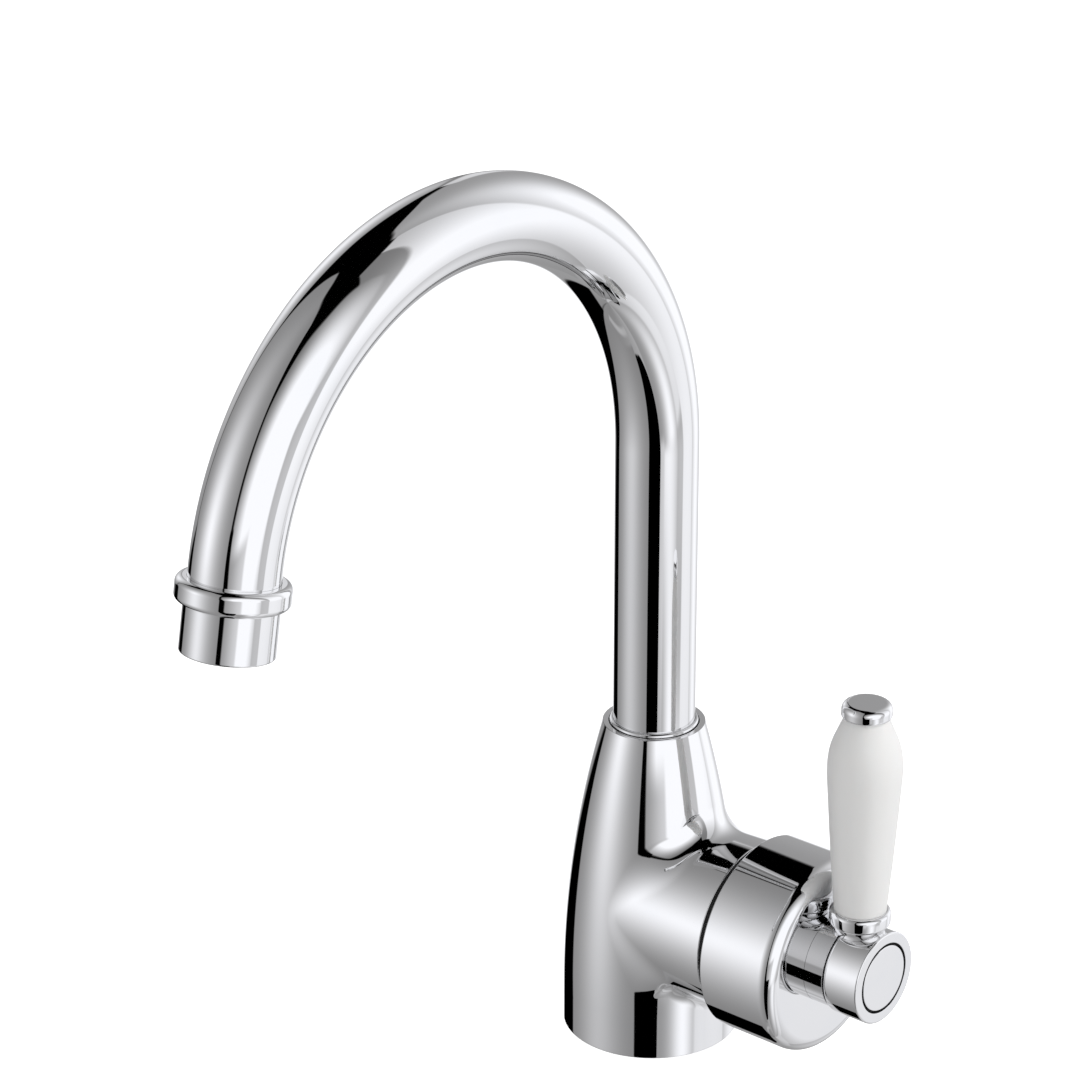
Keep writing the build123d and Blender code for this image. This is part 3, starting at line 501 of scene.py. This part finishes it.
ceramicFinishes()
metalFinish("raw_brass", (0.72, 0.55, 0.28), (0.62, 0.45, 0.22), 0.28, (0.15, 1, 1))
metalFinish("steel", (0.62, 0.62, 0.63), (0.52, 0.52, 0.54), 0.26, (1, 1, 0.2))
plasticFinish("black_rubber", (0.025, 0.025, 0.025), (0.05, 0.05, 0.048), 0.75, 0.05)
plasticFinish("white_plastic", (0.82, 0.82, 0.80), (0.74, 0.74, 0.72), 0.42, 0.02)
plasticFinish("grey_plastic", (0.42, 0.43, 0.45), (0.36, 0.37, 0.38), 0.45, 0.02)
# painted shade: a near-black finish that stands in for the shade inside the handle's narrow gaps
plasticFinish("groove", (0.012, 0.012, 0.013), (0.03, 0.03, 0.03), 0.6, 0.02)  # shadow gaps of the handle
plasticFinish("black_plastic", (0.018, 0.018, 0.018), (0.04, 0.04, 0.04), 0.5, 0.02)
for part in frame["record"]["subparts"]:
    node = frame["nodes"][part["node"]]
    if not node.material_slots:
        node.data.materials.append(finishes[part["material_slot"]])
    for holder in node.material_slots:
        holder.material = finishes[part["material_slot"]]
print("finishes ready:", len(finishes))


# Turned pieces: an outline of (along, radius) points, spun about its axis.
def roundedOutline(corners, closed):
    # a third number rounds that corner; guard points beside the arc keep the flats' shading true
    stepAngle, guard = math.radians(7.5), 0.1
    count = len(corners)
    points = []
    for index, corner in enumerate(corners):
        here = Vector(corner[:2])
        if len(corner) < 3:
            points.append(here)
            continue
        before = Vector(corners[index - 1][:2]) - here
        after = Vector(corners[(index + 1) % count][:2]) - here
        half = before.angle(after) / 2
        turn = math.pi - 2 * half
        reach = corner[2] / math.tan(half)
        centre = here + (before.normalized() + after.normalized()).normalized() * corner[2] / math.sin(half)
        start = here + before.normalized() * reach - centre
        end = here + after.normalized() * reach - centre
        if before.length > reach + 2 * guard:
            points.append(centre + start + before.normalized() * guard)
        steps = max(3, math.ceil(turn / stepAngle))
        for step in range(steps + 1):
            share = step / steps
            swing = start * math.sin((1 - share) * turn) + end * math.sin(share * turn)
            points.append(centre + swing / math.sin(turn))
        if after.length > reach + 2 * guard:
            points.append(centre + end + after.normalized() * guard)
    if closed:
        points.append(points[0])
    return points


def arcThrough(first, middle, last, steps):
    # points of the circle through three (along, radius) points
    a, b, c = Vector(first), Vector(middle), Vector(last)
    turn = 2 * (a.x * (b.y - c.y) + b.x * (c.y - a.y) + c.x * (a.y - b.y))
    farA, farB, farC = a.length_squared, b.length_squared, c.length_squared
    centre = Vector(((farA * (b.y - c.y) + farB * (c.y - a.y) + farC * (a.y - b.y)) / turn,
                     (farA * (c.x - b.x) + farB * (a.x - c.x) + farC * (b.x - a.x)) / turn))
    swing = (a - centre).angle_signed(c - centre)
    start = a - centre
    points = []
    for step in range(steps + 1):
        angle = -swing * step / steps
        points.append((centre.x + start.x * math.cos(angle) - start.y * math.sin(angle),
                       centre.y + start.x * math.sin(angle) + start.y * math.cos(angle)))
    return points


def turned(name, corners, axis, sides, closed=False):
    foot, along, side = axis
    places = [(foot + along * p.x + side * p.y) * mm for p in roundedOutline(corners, closed)]
    deselectAll()
    bpy.ops.mesh.primitive_plane_add(size=mm, location=(0, 0, 0))
    piece = bpy.context.object
    piece.name = piece.data.name = name
    bpy.ops.object.mode_set(mode="EDIT")
    bpy.ops.mesh.merge(type="CENTER")
    bpy.ops.transform.translate(value=places[0])
    for before, after in zip(places, places[1:]):
        bpy.ops.mesh.extrude_vertices_move(TRANSFORM_OT_translate={"value": after - before})
    bpy.ops.mesh.select_all(action="SELECT")
    bpy.ops.mesh.spin(steps=sides, angle=2 * math.pi, center=foot * mm, axis=along)
    closePiece(piece)
    return piece


def closePiece(piece):
    mergeDistance = 2e-6
    bpy.ops.mesh.select_all(action="SELECT")
    bpy.ops.mesh.remove_doubles(threshold=mergeDistance)
    bpy.ops.mesh.normals_make_consistent(inside=False)
    bpy.ops.object.mode_set(mode="OBJECT")
    smoothPiece(piece)


def smoothPiece(piece):
    sharpAngle = 32
    activate(piece)
    bpy.ops.object.shade_smooth_by_angle(angle=math.radians(sharpAngle))


def finishPiece(piece, body, slotName, *nodes):
    piece.data.materials.clear()
    piece.data.materials.append(finishes[slotName])
    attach(piece, body)
    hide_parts(*nodes)


upward = Vector((0, 0, 1))
sideways = Vector((1, 0, 0))
frontward = Vector((0, -1, 0))
hubLow, hubHigh = nodeBox("hub_shell")
branchHeight = (hubLow.z + hubHigh.z) / 2
riserAxis = (Vector((0, 0, 0)), upward, frontward)
branchAxis = (Vector((0, 0, branchHeight)), sideways, upward)


# Body: ogive with a side branch, blended by a ball that rolls round their meeting line
castLow, castHigh = nodeBox("body_casting")
body = {
    "footRadius": -castLow.x,
    "height": castHigh.z,
    "footStraight": 12.3,
    "rimRadius": 13.7,
    "rimRound": 0.5,
    "footRound": 0.25,
    "socket": (12.2, 63.6, 0.12),  # radius, floor height and rounding of its mouth
    "branchRoot": 22.2,  # radius on the riser's axis
    "branchEnd": (34.2, 23.5),  # distance and radius
    "branchEdge": 0.3,
    "neck": (38.0, 20.6, 0.25),  # distance, radius and rounding of its end
    "bore": (-11.0, 17.6),
    # the ball at the branch's top and underside, and the angles aside between which it grows to the side's
    "blendTop": (8.0, 25.0, 68.0),
    "blendUnder": (4.5, 40.0, 68.0),
    "blendSide": 20.4,
    "blendSearch": (80.0, 50),  # how far out the ball is looked for, and how often that stretch is halved
    "sealGroove": (21.45, 17.95, 1.85),  # outer and inner radius and depth
    "recess": (16.4, 3.0),
    # x, y, radius and height of each
    "holes": ((9.0, 0.0, 3.4, 16.0), (-8.551, 7.539, 4.5, 13.0), (-8.551, -7.539, 4.5, 13.0)),
}
mesh = {
    "topSteps": 64,
    "seamSteps": 64,
    "footSteps": 64,
    "sideRows": 60,
    "sideGrade": 1.2,  # the rows lie closer together beside the blend
    "blendRows": 12,
    "branchRows": 16,
    "holeSides": 64,
}


def sideArcRadius():
    depth = body["footRadius"] - body["rimRadius"]
    rise = body["height"] - body["footStraight"]
    return (rise**2 + depth**2) / (2 * depth)


def bodyRadius(z):
    rise = max(0.0, z - body["footStraight"])
    arc = sideArcRadius()
    return body["footRadius"] - arc + math.sqrt(arc**2 - rise**2)


def bodyNormal(place):
    # outward direction and distance from the ogive's side
    reach = math.hypot(place.x, place.y)
    arc = sideArcRadius()
    rise = max(0.0, place.z - body["footStraight"])
    slope = Vector((reach - body["footRadius"] + arc, rise))
    flat = slope.x / slope.length / reach
    return Vector((place.x * flat, place.y * flat, slope.y / slope.length)), slope.length - arc


def ballCentre(angle):
    # the ball's centre at an angle round the branch, counted from straight up
    endX, endRadius = body["branchEnd"]
    taper = math.atan2(endRadius - body["branchRoot"], endX)
    rising = math.cos(angle)
    least, growFrom, growTo = body["blendTop"] if rising > 0 else body["blendUnder"]
    aside = math.degrees(math.acos(min(1.0, abs(rising))))
    share = min(1.0, max(0.0, (aside - growFrom) / (growTo - growFrom)))
    ball = least + (body["blendSide"] - least) * share**2 * (3 - 2 * share)
    low, (high, halvings) = 0.0, body["blendSearch"]
    for _ in range(halvings):
        x = (low + high) / 2
        away = body["branchRoot"] + x * math.tan(taper) + ball / math.cos(taper)
        centre = Vector((x, away * math.sin(angle), branchHeight + away * math.cos(angle)))
        if bodyNormal(centre)[1] < ball:
            low = x
        else:
            high = x
    ogiveWay = -bodyNormal(centre)[0]
    branchWay = Vector((math.sin(taper), -math.sin(angle) * math.cos(taper), -rising * math.cos(taper)))
    return centre, ball, ogiveWay, branchWay


def boundaryPoints():
    # round the unrolled ogive: the rim, the seam at the back, then the foot, and back up the other side
    halfTurn = math.pi * body["footRadius"]
    high = topOutline()[0][1] - branchHeight
    low = body["footRound"] - branchHeight
    quarter = [(halfTurn * i / mesh["topSteps"], high) for i in range(mesh["topSteps"])]
    quarter += [(halfTurn, high + (low - high) * i / mesh["seamSteps"]) for i in range(mesh["seamSteps"])]
    quarter += [(halfTurn * (1 - i / mesh["footSteps"]), low) for i in range(mesh["footSteps"])]
    return quarter + [(0.0, low)] + [(-s, z) for s, z in reversed(quarter[1:])]


def topOutline():
    # from the ogive's side over the rounded rim to the bottom of the socket, as (radius, height)
    radius, floor, mouthRound = body["socket"]
    stretch = 20
    lean = Vector((body["footRadius"] - sideArcRadius() - body["rimRadius"],
                   body["footStraight"] - body["height"]))
    slope = Vector((-lean.y, lean.x)).normalized() * stretch
    below = (body["height"] - slope.x, body["rimRadius"] - slope.y)
    corners = [below, (body["height"], body["rimRadius"], body["rimRound"]),
               (body["height"], radius, mouthRound), (floor, radius), (floor, 0.0)]
    points = roundedOutline(corners, False)[2:]
    return [(p.y, p.x) for p in points]


def bodyMesh():
    vertices, faces = [], []

    def addRing(places):
        start = len(vertices)
        vertices.extend(place * mm for place in places)
        return list(range(start, len(vertices)))

    def bridge(ringA, ringB, turnedRound=True):
        count = len(ringA)
        for i in range(count if turnedRound else count - 1):
            j = (i + 1) % count
            faces.append((ringA[i], ringA[j], ringB[j], ringB[i]))

    edge = boundaryPoints()
    balls = [ballCentre(math.atan2(s, z)) for s, z in edge]
    # ogive rows, from the foot of the blend out to the rim, seam and foot
    firstRow = None
    grade = mesh["sideGrade"]
    for row in range(mesh["sideRows"] + 1):
        share = (math.exp(grade * row / mesh["sideRows"]) - 1) / (math.exp(grade) - 1)
        places = []
        for (s, z), (centre, ball, ogiveWay, _) in zip(edge, balls):
            foot = centre + ogiveWay * ball
            startS = math.atan2(foot.y, foot.x) * body["footRadius"]
            height = foot.z + (z + branchHeight - foot.z) * share
            around = (startS + (s - startS) * share) / body["footRadius"]
            radius = bodyRadius(height)
            places.append(Vector((radius * math.cos(around), radius * math.sin(around), height)))
        ring = addRing(places)
        if firstRow is None:
            firstRow = ring
        else:
            bridge(lastRow, ring)
        lastRow = ring
    outerRow = lastRow
    # blend rows
    lastRow = firstRow
    for row in range(1, mesh["blendRows"] + 1):
        share = row / mesh["blendRows"]
        places = []
        for centre, ball, ogiveWay, branchWay in balls:
            turn = ogiveWay.angle(branchWay)
            way = ogiveWay * math.sin((1 - share) * turn) + branchWay * math.sin(share * turn)
            places.append(centre + way * ball / math.sin(turn))
        ring = addRing(places)
        bridge(ring, lastRow)
        lastRow = ring
    # branch rows, then its end face, neck and bore
    endX, endRadius = body["branchEnd"]
    neckX, neckRadius, neckRound = body["neck"]
    boreX, boreRadius = body["bore"]
    slope = (endRadius - body["branchRoot"]) / endX
    tail = [(endX - 2, endRadius - 2 * slope), (endX, endRadius, body["branchEdge"]), (endX, neckRadius),
            (neckX, neckRadius, neckRound), (neckX, boreRadius, neckRound), (boreX, boreRadius), (boreX, 0.0)]
    tail = [(p.x, p.y) for p in roundedOutline(tail, False)[1:]]
    starts = [vertices[i] / mm for i in lastRow]
    angles = [math.atan2(p.y, p.z - branchHeight) for p in starts]
    for row in range(1, mesh["branchRows"] + 1):
        share = row / mesh["branchRows"]
        places = []
        for start, angle in zip(starts, angles):
            x = start.x + (tail[0][0] - start.x) * share
            radius = body["branchRoot"] + slope * x
            places.append(Vector((x, radius * math.sin(angle), branchHeight + radius * math.cos(angle))))
        ring = addRing(places)
        bridge(ring, lastRow)
        lastRow = ring
    for x, radius in tail[1:]:
        ring = addRing(Vector((x, radius * math.sin(a), branchHeight + radius * math.cos(a))) for a in angles)
        bridge(ring, lastRow)
        lastRow = ring
    # rim and socket from the upper stretch of the outer row, the underside from its lower stretch
    top = [outerRow[i] for i in range(-mesh["topSteps"], mesh["topSteps"] + 1)]
    turnsAt = [math.atan2(vertices[i].y, vertices[i].x) for i in top]
    turnsAt[0], turnsAt[-1] = -math.pi, math.pi
    lastRow = top
    for radius, height in topOutline()[1:]:
        ring = addRing(Vector((radius * math.cos(a), radius * math.sin(a), height)) for a in turnsAt)
        bridge(lastRow, ring, False)
        lastRow = ring
    middle = mesh["topSteps"] + mesh["seamSteps"] + mesh["footSteps"]
    under = [outerRow[i] for i in range(middle - mesh["footSteps"], middle + mesh["footSteps"] + 1)]
    turnsAt = [math.atan2(vertices[i].y, vertices[i].x) for i in under]
    turnsAt[0], turnsAt[-1] = math.pi, -math.pi
    grooveOuter, grooveInner, grooveDepth = body["sealGroove"]
    recessRadius, recessDepth = body["recess"]
    corners = [(5.0, body["footRadius"]), (0.0, body["footRadius"], body["footRound"]), (0.0, grooveOuter),
               (grooveDepth, grooveOuter), (grooveDepth, grooveInner), (0.0, grooveInner),
               (0.0, recessRadius), (recessDepth, recessRadius), (recessDepth, 0.0)]
    lastRow = under
    for point in roundedOutline(corners, False)[3:]:
        ring = addRing(Vector((point.y * math.cos(a), point.y * math.sin(a), point.x)) for a in turnsAt)
        bridge(lastRow, ring, False)
        lastRow = ring
    return vertices, faces


def buildBody():
    vertices, faces = bodyMesh()
    data = bpy.data.meshes.new("bodyShell")
    data.from_pydata(vertices, [], faces)
    piece = bpy.data.objects.new("bodyShell", data)
    bpy.context.scene.collection.objects.link(piece)
    activate(piece)
    bpy.ops.object.mode_set(mode="EDIT")
    closePiece(piece)
    over = 1.0
    for x, y, radius, top in body["holes"]:
        deselectAll()
        depth = (top + over) * mm
        bpy.ops.mesh.primitive_cylinder_add(vertices=mesh["holeSides"], radius=radius * mm, depth=depth,
                                            location=(x * mm, y * mm, top * mm - depth / 2))
        cutter = bpy.context.object
        cut = piece.modifiers.new("hole", "BOOLEAN")
        cut.operation, cut.solver, cut.object = "DIFFERENCE", "EXACT", cutter
        activate(piece)
        bpy.ops.object.modifier_apply(modifier=cut.name)
        bpy.data.objects.remove(cutter)
    finishPiece(piece, "body", "chrome_body", "body_casting")


buildBody()
print("body ready")


# Spout: riser and gooseneck in one tube, a collar at its foot, a ring and a nozzle at its end
tubeLow, tubeHigh = nodeBox("spout_tube")
spout = {
    "radius": tubeHigh.x - 0.001,
    "wall": 1.5,
    "foot": tubeLow.z,
    "riserTop": 170.3,
    "bendRadius": tubeHigh.z - 170.3 - tubeHigh.x,
    "sweep": 169.7,
    "endLength": 4.0,
    "sides": 144,
    "bendSteps": 170,
    "guard": 1.0,
    "trimSides": 128,
    "collar": (88.7, 91.1, 11.05, 11.9, 0.7),  # heights, radii and rounding
    "ring": (1.3, 7.05, 13.75, 1.6),  # start, end, radius and rounding, along the outlet's axis
    "ringBore": (11.05, 11.5),
    "ringUnder": (1.4, 0.5),  # lower edge's rounding and the fillet on to the nozzle
    "nozzle": (4.05, 19.3, 11.45, 0.4),  # as the ring
    "nozzleBore": (8.4, 9.3, 8.05),  # upper radius, mouth radius and where they meet
}


def buildTube():
    deselectAll()
    bpy.ops.mesh.primitive_circle_add(vertices=spout["sides"], radius=spout["radius"] * mm,
                                      location=(0, 0, 0))
    piece = bpy.context.object
    piece.name = piece.data.name = "spoutTube"
    bpy.ops.object.mode_set(mode="EDIT")
    bpy.ops.transform.translate(value=(0, 0, spout["foot"] * mm))
    riser = spout["riserTop"] - spout["foot"]
    for length in (riser - spout["guard"], spout["guard"]):
        bpy.ops.mesh.extrude_edges_move(TRANSFORM_OT_translate={"value": (0, 0, length * mm)})
    bendCentre = Vector((0, -spout["bendRadius"], spout["riserTop"]))
    bpy.ops.mesh.spin(steps=spout["bendSteps"], angle=math.radians(spout["sweep"]), center=bendCentre * mm,
                      axis=(-1, 0, 0))
    _, along, _ = outletAxis()
    for length in (spout["guard"], spout["endLength"] - spout["guard"]):
        bpy.ops.mesh.extrude_edges_move(TRANSFORM_OT_translate={"value": along * length * mm})
    closePiece(piece)
    wall = piece.modifiers.new("wall", "SOLIDIFY")
    wall.thickness, wall.offset, wall.use_even_offset = spout["wall"] * mm, -1, True
    bpy.ops.object.modifier_apply(modifier=wall.name)
    smoothPiece(piece)
    finishPiece(piece, "spout", "chrome_spout", "spout_tube")


def outletAxis():
    sweep = math.radians(spout["sweep"])
    radius = spout["bendRadius"]
    end = Vector((0, -radius + radius * math.cos(sweep), spout["riserTop"] + radius * math.sin(sweep)))
    along = Vector((0, -math.sin(sweep), math.cos(sweep)))
    return end, along, Vector((1, 0, 0))


def buildSpoutTrim():
    sides = spout["trimSides"]
    low, high, inner, outer, roundness = spout["collar"]
    collar = turned("spoutCollar", [(low, inner), (low, outer), (high, outer, roundness),
                                    (high, inner, 0.15)], riserAxis, sides, closed=True)
    finishPiece(collar, "spout", "chrome_spout", "spout_collar")
    start, end, outer, roundness = spout["ring"]
    upper, lower = spout["ringBore"]
    step = spout["endLength"]
    edge, fillet = spout["ringUnder"]
    lip, skirt = 0.02, end + fillet + 0.15
    ring = turned("outletRing", [(start, upper), (start, outer, roundness), (end, outer, edge),
                                 (end, lower + lip, fillet), (skirt, lower + lip), (skirt, lower),
                                 (step, lower), (step, upper)], outletAxis(), sides, closed=True)
    finishPiece(ring, "spout", "chrome_spout", "outlet_ring")
    start, end, outer, roundness = spout["nozzle"]
    upper, mouth, step = spout["nozzleBore"]
    nozzle = turned("outletNozzle", [(start, upper), (start, outer), (end, outer, roundness),
                                     (end, mouth, 0.25), (step, mouth), (step, upper)],
                    outletAxis(), sides, closed=True)
    finishPiece(nozzle, "spout", "chrome_spout", "outlet_nozzle")


buildTube()
buildSpoutTrim()
print("spout ready")


# Handle: hub over the branch, stem, knob and inlaid disc, all on the branch's axis
knobLow, knobHigh = nodeBox("handle_knob")
discLow, discHigh = nodeBox("index_disc")
stemLow, stemHigh = nodeBox("handle_stem")
screwEnd = nodeBox("handle_screw")[1].x
handle = {
    "hubStart": hubLow.x - 0.2,  # a narrower gap to the branch than between the solids
    "hubFace": hubHigh.x,
    "hubRadius": hubHigh.y,
    "hubBore": 24.4,
    "hubWall": 3.0,
    "hubHole": 9.05,
    "hubSides": 192,
    "faceRound": 4.0,
    "rimRound": 0.5,
    "stemRadius": (stemHigh.z - stemLow.z) / 2,
    "stemEnd": 66.9,
    "stemBoss": 9.0,
    "stemSpigot": 9.5,
    "stemSocket": (5.7, 54.05),  # radius and where it ends
    "stemNeck": (0.78, 0.5),  # width and depth of the shadow groove against the knob
    "knobFace": knobHigh.x,
    "knobRadius": (knobHigh.z - knobLow.z) / 2,
    "knobBack": 0.55,
    "knobWall": 3.2,
    "knobEdge": 0.5,
    "recess": (9.7, 1.4),  # radius and depth
    "fineEdge": 0.12,
    "discRadius": (discHigh.z - discLow.z) / 2,
    "discEdge": 0.25,
    "discSides": 128,
    "sides": 144,
    "screwHead": (4.25, 2.55, 3.0),  # head bore, shank bore and how far the seat lies under the head's end
    "gap": 0.05,
}


def paintShadeOnFaces(piece, low, high, inner, outer):
    # paints the faces between two distances and two radii of the branch's axis near-black, as painted shade
    # for the handle's narrow gaps
    piece.data.materials.append(finishes["groove"])
    for polygon in piece.data.polygons:
        middle = polygon.center / mm
        away = math.hypot(middle.y, middle.z - branchHeight)
        if low < middle.x < high and inner < away < outer:
            polygon.material_index = 1


def buildHandleParts():
    radius, face, start = handle["hubRadius"], handle["hubFace"], handle["hubStart"]
    inner = face - handle["hubWall"]
    hub = turned("hubShell", [(start, handle["hubBore"]), (start, radius, handle["rimRound"]),
                              (face, radius, handle["faceRound"]), (face, handle["hubHole"]),
                              (inner, handle["hubHole"]), (inner, handle["hubBore"])],
                 branchAxis, handle["hubSides"], closed=True)
    finishPiece(hub, "handle", "chrome_handle", "hub_shell")

    headBore, shankBore, seatDrop = handle["screwHead"]
    gap, fineEdge, sides = handle["gap"], handle["fineEdge"], handle["sides"]
    socketRadius, socketEnd = handle["stemSocket"]
    stemRadius, stemEnd = handle["stemRadius"], handle["stemEnd"]
    neckStart, neckRadius = stemEnd - handle["stemNeck"][0], stemRadius - handle["stemNeck"][1]
    boss, spigot = handle["stemBoss"], handle["stemSpigot"]
    knobFace, knobRadius = handle["knobFace"], handle["knobRadius"]
    knobInside = knobFace - handle["knobWall"]
    seat = screwEnd - seatDrop
    stem = turned("handleStem", [
        (stemLow.x, socketRadius), (stemLow.x, boss), (face + gap, boss), (face + gap, stemRadius),
        (neckStart, stemRadius, fineEdge), (neckStart, neckRadius), (stemEnd, neckRadius), (stemEnd, spigot),
        (knobInside - gap, spigot), (knobInside - gap, headBore), (seat, headBore), (seat, shankBore),
        (socketEnd, shankBore), (socketEnd, socketRadius)], branchAxis, sides, closed=True)
    finishPiece(stem, "handle", "chrome_handle", "handle_stem")
    # painted shade on the stem's shoulder wall inside the neck groove
    paintShadeOnFaces(stem, neckStart - 0.01, neckStart + 0.01, neckRadius, stemRadius)

    recessRadius, recessDepth = handle["recess"]
    bore, floor = spigot + gap, knobFace - recessDepth
    knob = turned("handleKnob", [
        (stemEnd + gap, bore), (stemEnd + gap, knobRadius, handle["knobBack"]),
        (knobFace, knobRadius, handle["knobEdge"]), (knobFace, recessRadius, fineEdge), (floor, recessRadius),
        (floor, headBore), (knobInside, headBore), (knobInside, bore)], branchAxis, sides, closed=True)
    finishPiece(knob, "handle", "chrome_handle", "handle_knob")
    # painted shade on the knob's recess wall and floor round the disc
    paintShadeOnFaces(knob, knobInside, knobFace - 0.1, headBore, recessRadius + 0.01)

    disc = turned("indexDisc", [(discLow.x, 0.0), (discLow.x, handle["discRadius"]),
                                (discHigh.x, handle["discRadius"], handle["discEdge"]), (discHigh.x, 0.0)],
                  branchAxis, handle["discSides"])
    finishPiece(disc, "handle", "index_chrome", "index_disc")


buildHandleParts()
print("handle ready")


# Lever: ferrule on the knob, ceramic grip and finial cap
gripLow, gripHigh = nodeBox("ceramic_grip")
capLow, capHigh = nodeBox("finial_cap")
ferruleTop = nodeBox("lever_ferrule")[1].z
lever = {
    "x": (gripLow.x + gripHigh.x) / 2,
    "ball": (7.1, 54.0, 47.6, 53.1),  # radius, centre height and the heights it runs between
    "band": (8.05, 54.15, 56.3),  # radius, low and high
    "lowBend": (7.8, 53.45),  # a point on the curve from ball to band
    "highBend": (7.7, 57.09),  # a point on the curve from band to top
    "top": (6.8, ferruleTop),
    "washer": (4.95, 0.8),  # radius and height of its seat
    "studBore": 2.55,
    # the grip's outline as (height over its foot, radius)
    "grip": ((0.0, 6.9), (16.5, 8.26), (34.2, 9.47), (41.2, 9.735), (47.3, 8.82), (50.9, 7.4), (54.7, 5.75)),
    "gripBore": 3.1,
    "gripSteps": 64,
    "ballSteps": 16,
    "bendSteps": 12,
    "sides": 128,
    "saddleSides": 256,
    "capRadius": (capHigh.x - capLow.x) / 2,
    "capDrop": 0.3,
    "capEdge": 1.8,
    "capFoot": 1.0,
    "capWall": 1.65,
}
leverAxis = (Vector((lever["x"], 0, 0)), upward, frontward)


def smoothThrough(knots, steps):
    # natural cubic through (height, radius) knots
    count = len(knots)
    xs, ys = [k[0] for k in knots], [k[1] for k in knots]
    bends, upper, right = [0.0] * count, [0.0] * count, [0.0] * count
    for i in range(1, count - 1):
        before, after = xs[i] - xs[i - 1], xs[i + 1] - xs[i]
        pull = 6 * ((ys[i + 1] - ys[i]) / after - (ys[i] - ys[i - 1]) / before)
        weight = 2 * (before + after) - before * upper[i - 1]
        upper[i] = after / weight
        right[i] = (pull - before * right[i - 1]) / weight
    for i in range(count - 2, 0, -1):
        bends[i] = right[i] - upper[i] * bends[i + 1]
    points = []
    for step in range(steps + 1):
        x = xs[0] + (xs[-1] - xs[0]) * step / steps
        i = min(count - 2, max(k for k in range(count) if xs[k] <= x + 1e-9))
        width = xs[i + 1] - xs[i]
        a, b = (xs[i + 1] - x) / width, (x - xs[i]) / width
        curve = ((a**3 - a) * bends[i] + (b**3 - b) * bends[i + 1]) * width**2 / 6
        points.append((x, a * ys[i] + b * ys[i + 1] + curve))
    return points


def buildLever():
    washerRadius, washerHeight = lever["washer"]
    ballRadius, ballHeight, ballFoot, ballTop = lever["ball"]
    bandRadius, bandLow, bandHigh = lever["band"]
    topRadius, top = lever["top"]
    studBore, sides, steps = lever["studBore"], lever["sides"], lever["bendSteps"]
    firstTurn = math.acos((ballHeight - ballFoot) / ballRadius)
    lastTurn = math.acos((ballHeight - ballTop) / ballRadius)
    ballSide = []
    for step in range(lever["ballSteps"] + 1):
        angle = firstTurn + (lastTurn - firstTurn) * step / lever["ballSteps"]
        ballSide.append((ballHeight - ballRadius * math.cos(angle), ballRadius * math.sin(angle)))
    lowCurve = arcThrough(ballSide.pop(), lever["lowBend"][::-1], (bandLow, bandRadius), steps)
    highCurve = arcThrough((bandHigh, bandRadius), lever["highBend"][::-1], (top, topRadius), steps)
    ferrule = turned("leverFerrule", [
        (ballFoot, studBore), *ballSide, *lowCurve, *highCurve, (top, washerRadius),
        (top - washerHeight, washerRadius), (top - washerHeight, studBore)], leverAxis, sides, closed=True)
    # saddle: cut by the stem and the knob, a little enlarged
    gap, over = handle["gap"], 2.0
    stemReach, knobReach = handle["stemRadius"] + gap, handle["knobRadius"] + gap
    step, first, last = handle["stemEnd"], handle["hubFace"] - over, handle["knobFace"] + over
    saddle = turned("saddleCutter", [
        (first, 0.0), (first, stemReach), (step, stemReach), (step, knobReach, handle["knobBack"]),
        (last, knobReach), (last, 0.0)], branchAxis, lever["saddleSides"])
    cut = ferrule.modifiers.new("saddle", "BOOLEAN")
    cut.operation, cut.solver, cut.object = "DIFFERENCE", "EXACT", saddle
    activate(ferrule)
    bpy.ops.object.modifier_apply(modifier=cut.name)
    bpy.data.objects.remove(saddle)
    finishPiece(ferrule, "handle", "chrome_handle", "lever_ferrule")

    side = [(gripLow.z + z, r) for z, r in smoothThrough(lever["grip"], lever["gripSteps"])]
    grip = turned("ceramicGrip", [(gripLow.z, lever["gripBore"]), *side, (gripHigh.z, lever["gripBore"])],
                  leverAxis, sides, closed=True)
    finishPiece(grip, "handle", "white_ceramic", "ceramic_grip")

    foot, top, radius = capLow.z, capHigh.z - lever["capDrop"], lever["capRadius"]
    seat, ceiling = foot + washerHeight, top - lever["capWall"]
    cap = turned("finialCap", [
        (ceiling, 0.0), (ceiling, studBore), (seat, studBore), (seat, washerRadius), (foot, washerRadius),
        (foot, radius, lever["capFoot"]), (top, radius, lever["capEdge"]), (top, 0.0)], leverAxis, sides)
    finishPiece(cap, "handle", "chrome_handle", "finial_cap")


buildLever()
print("lever ready")

deselectAll()
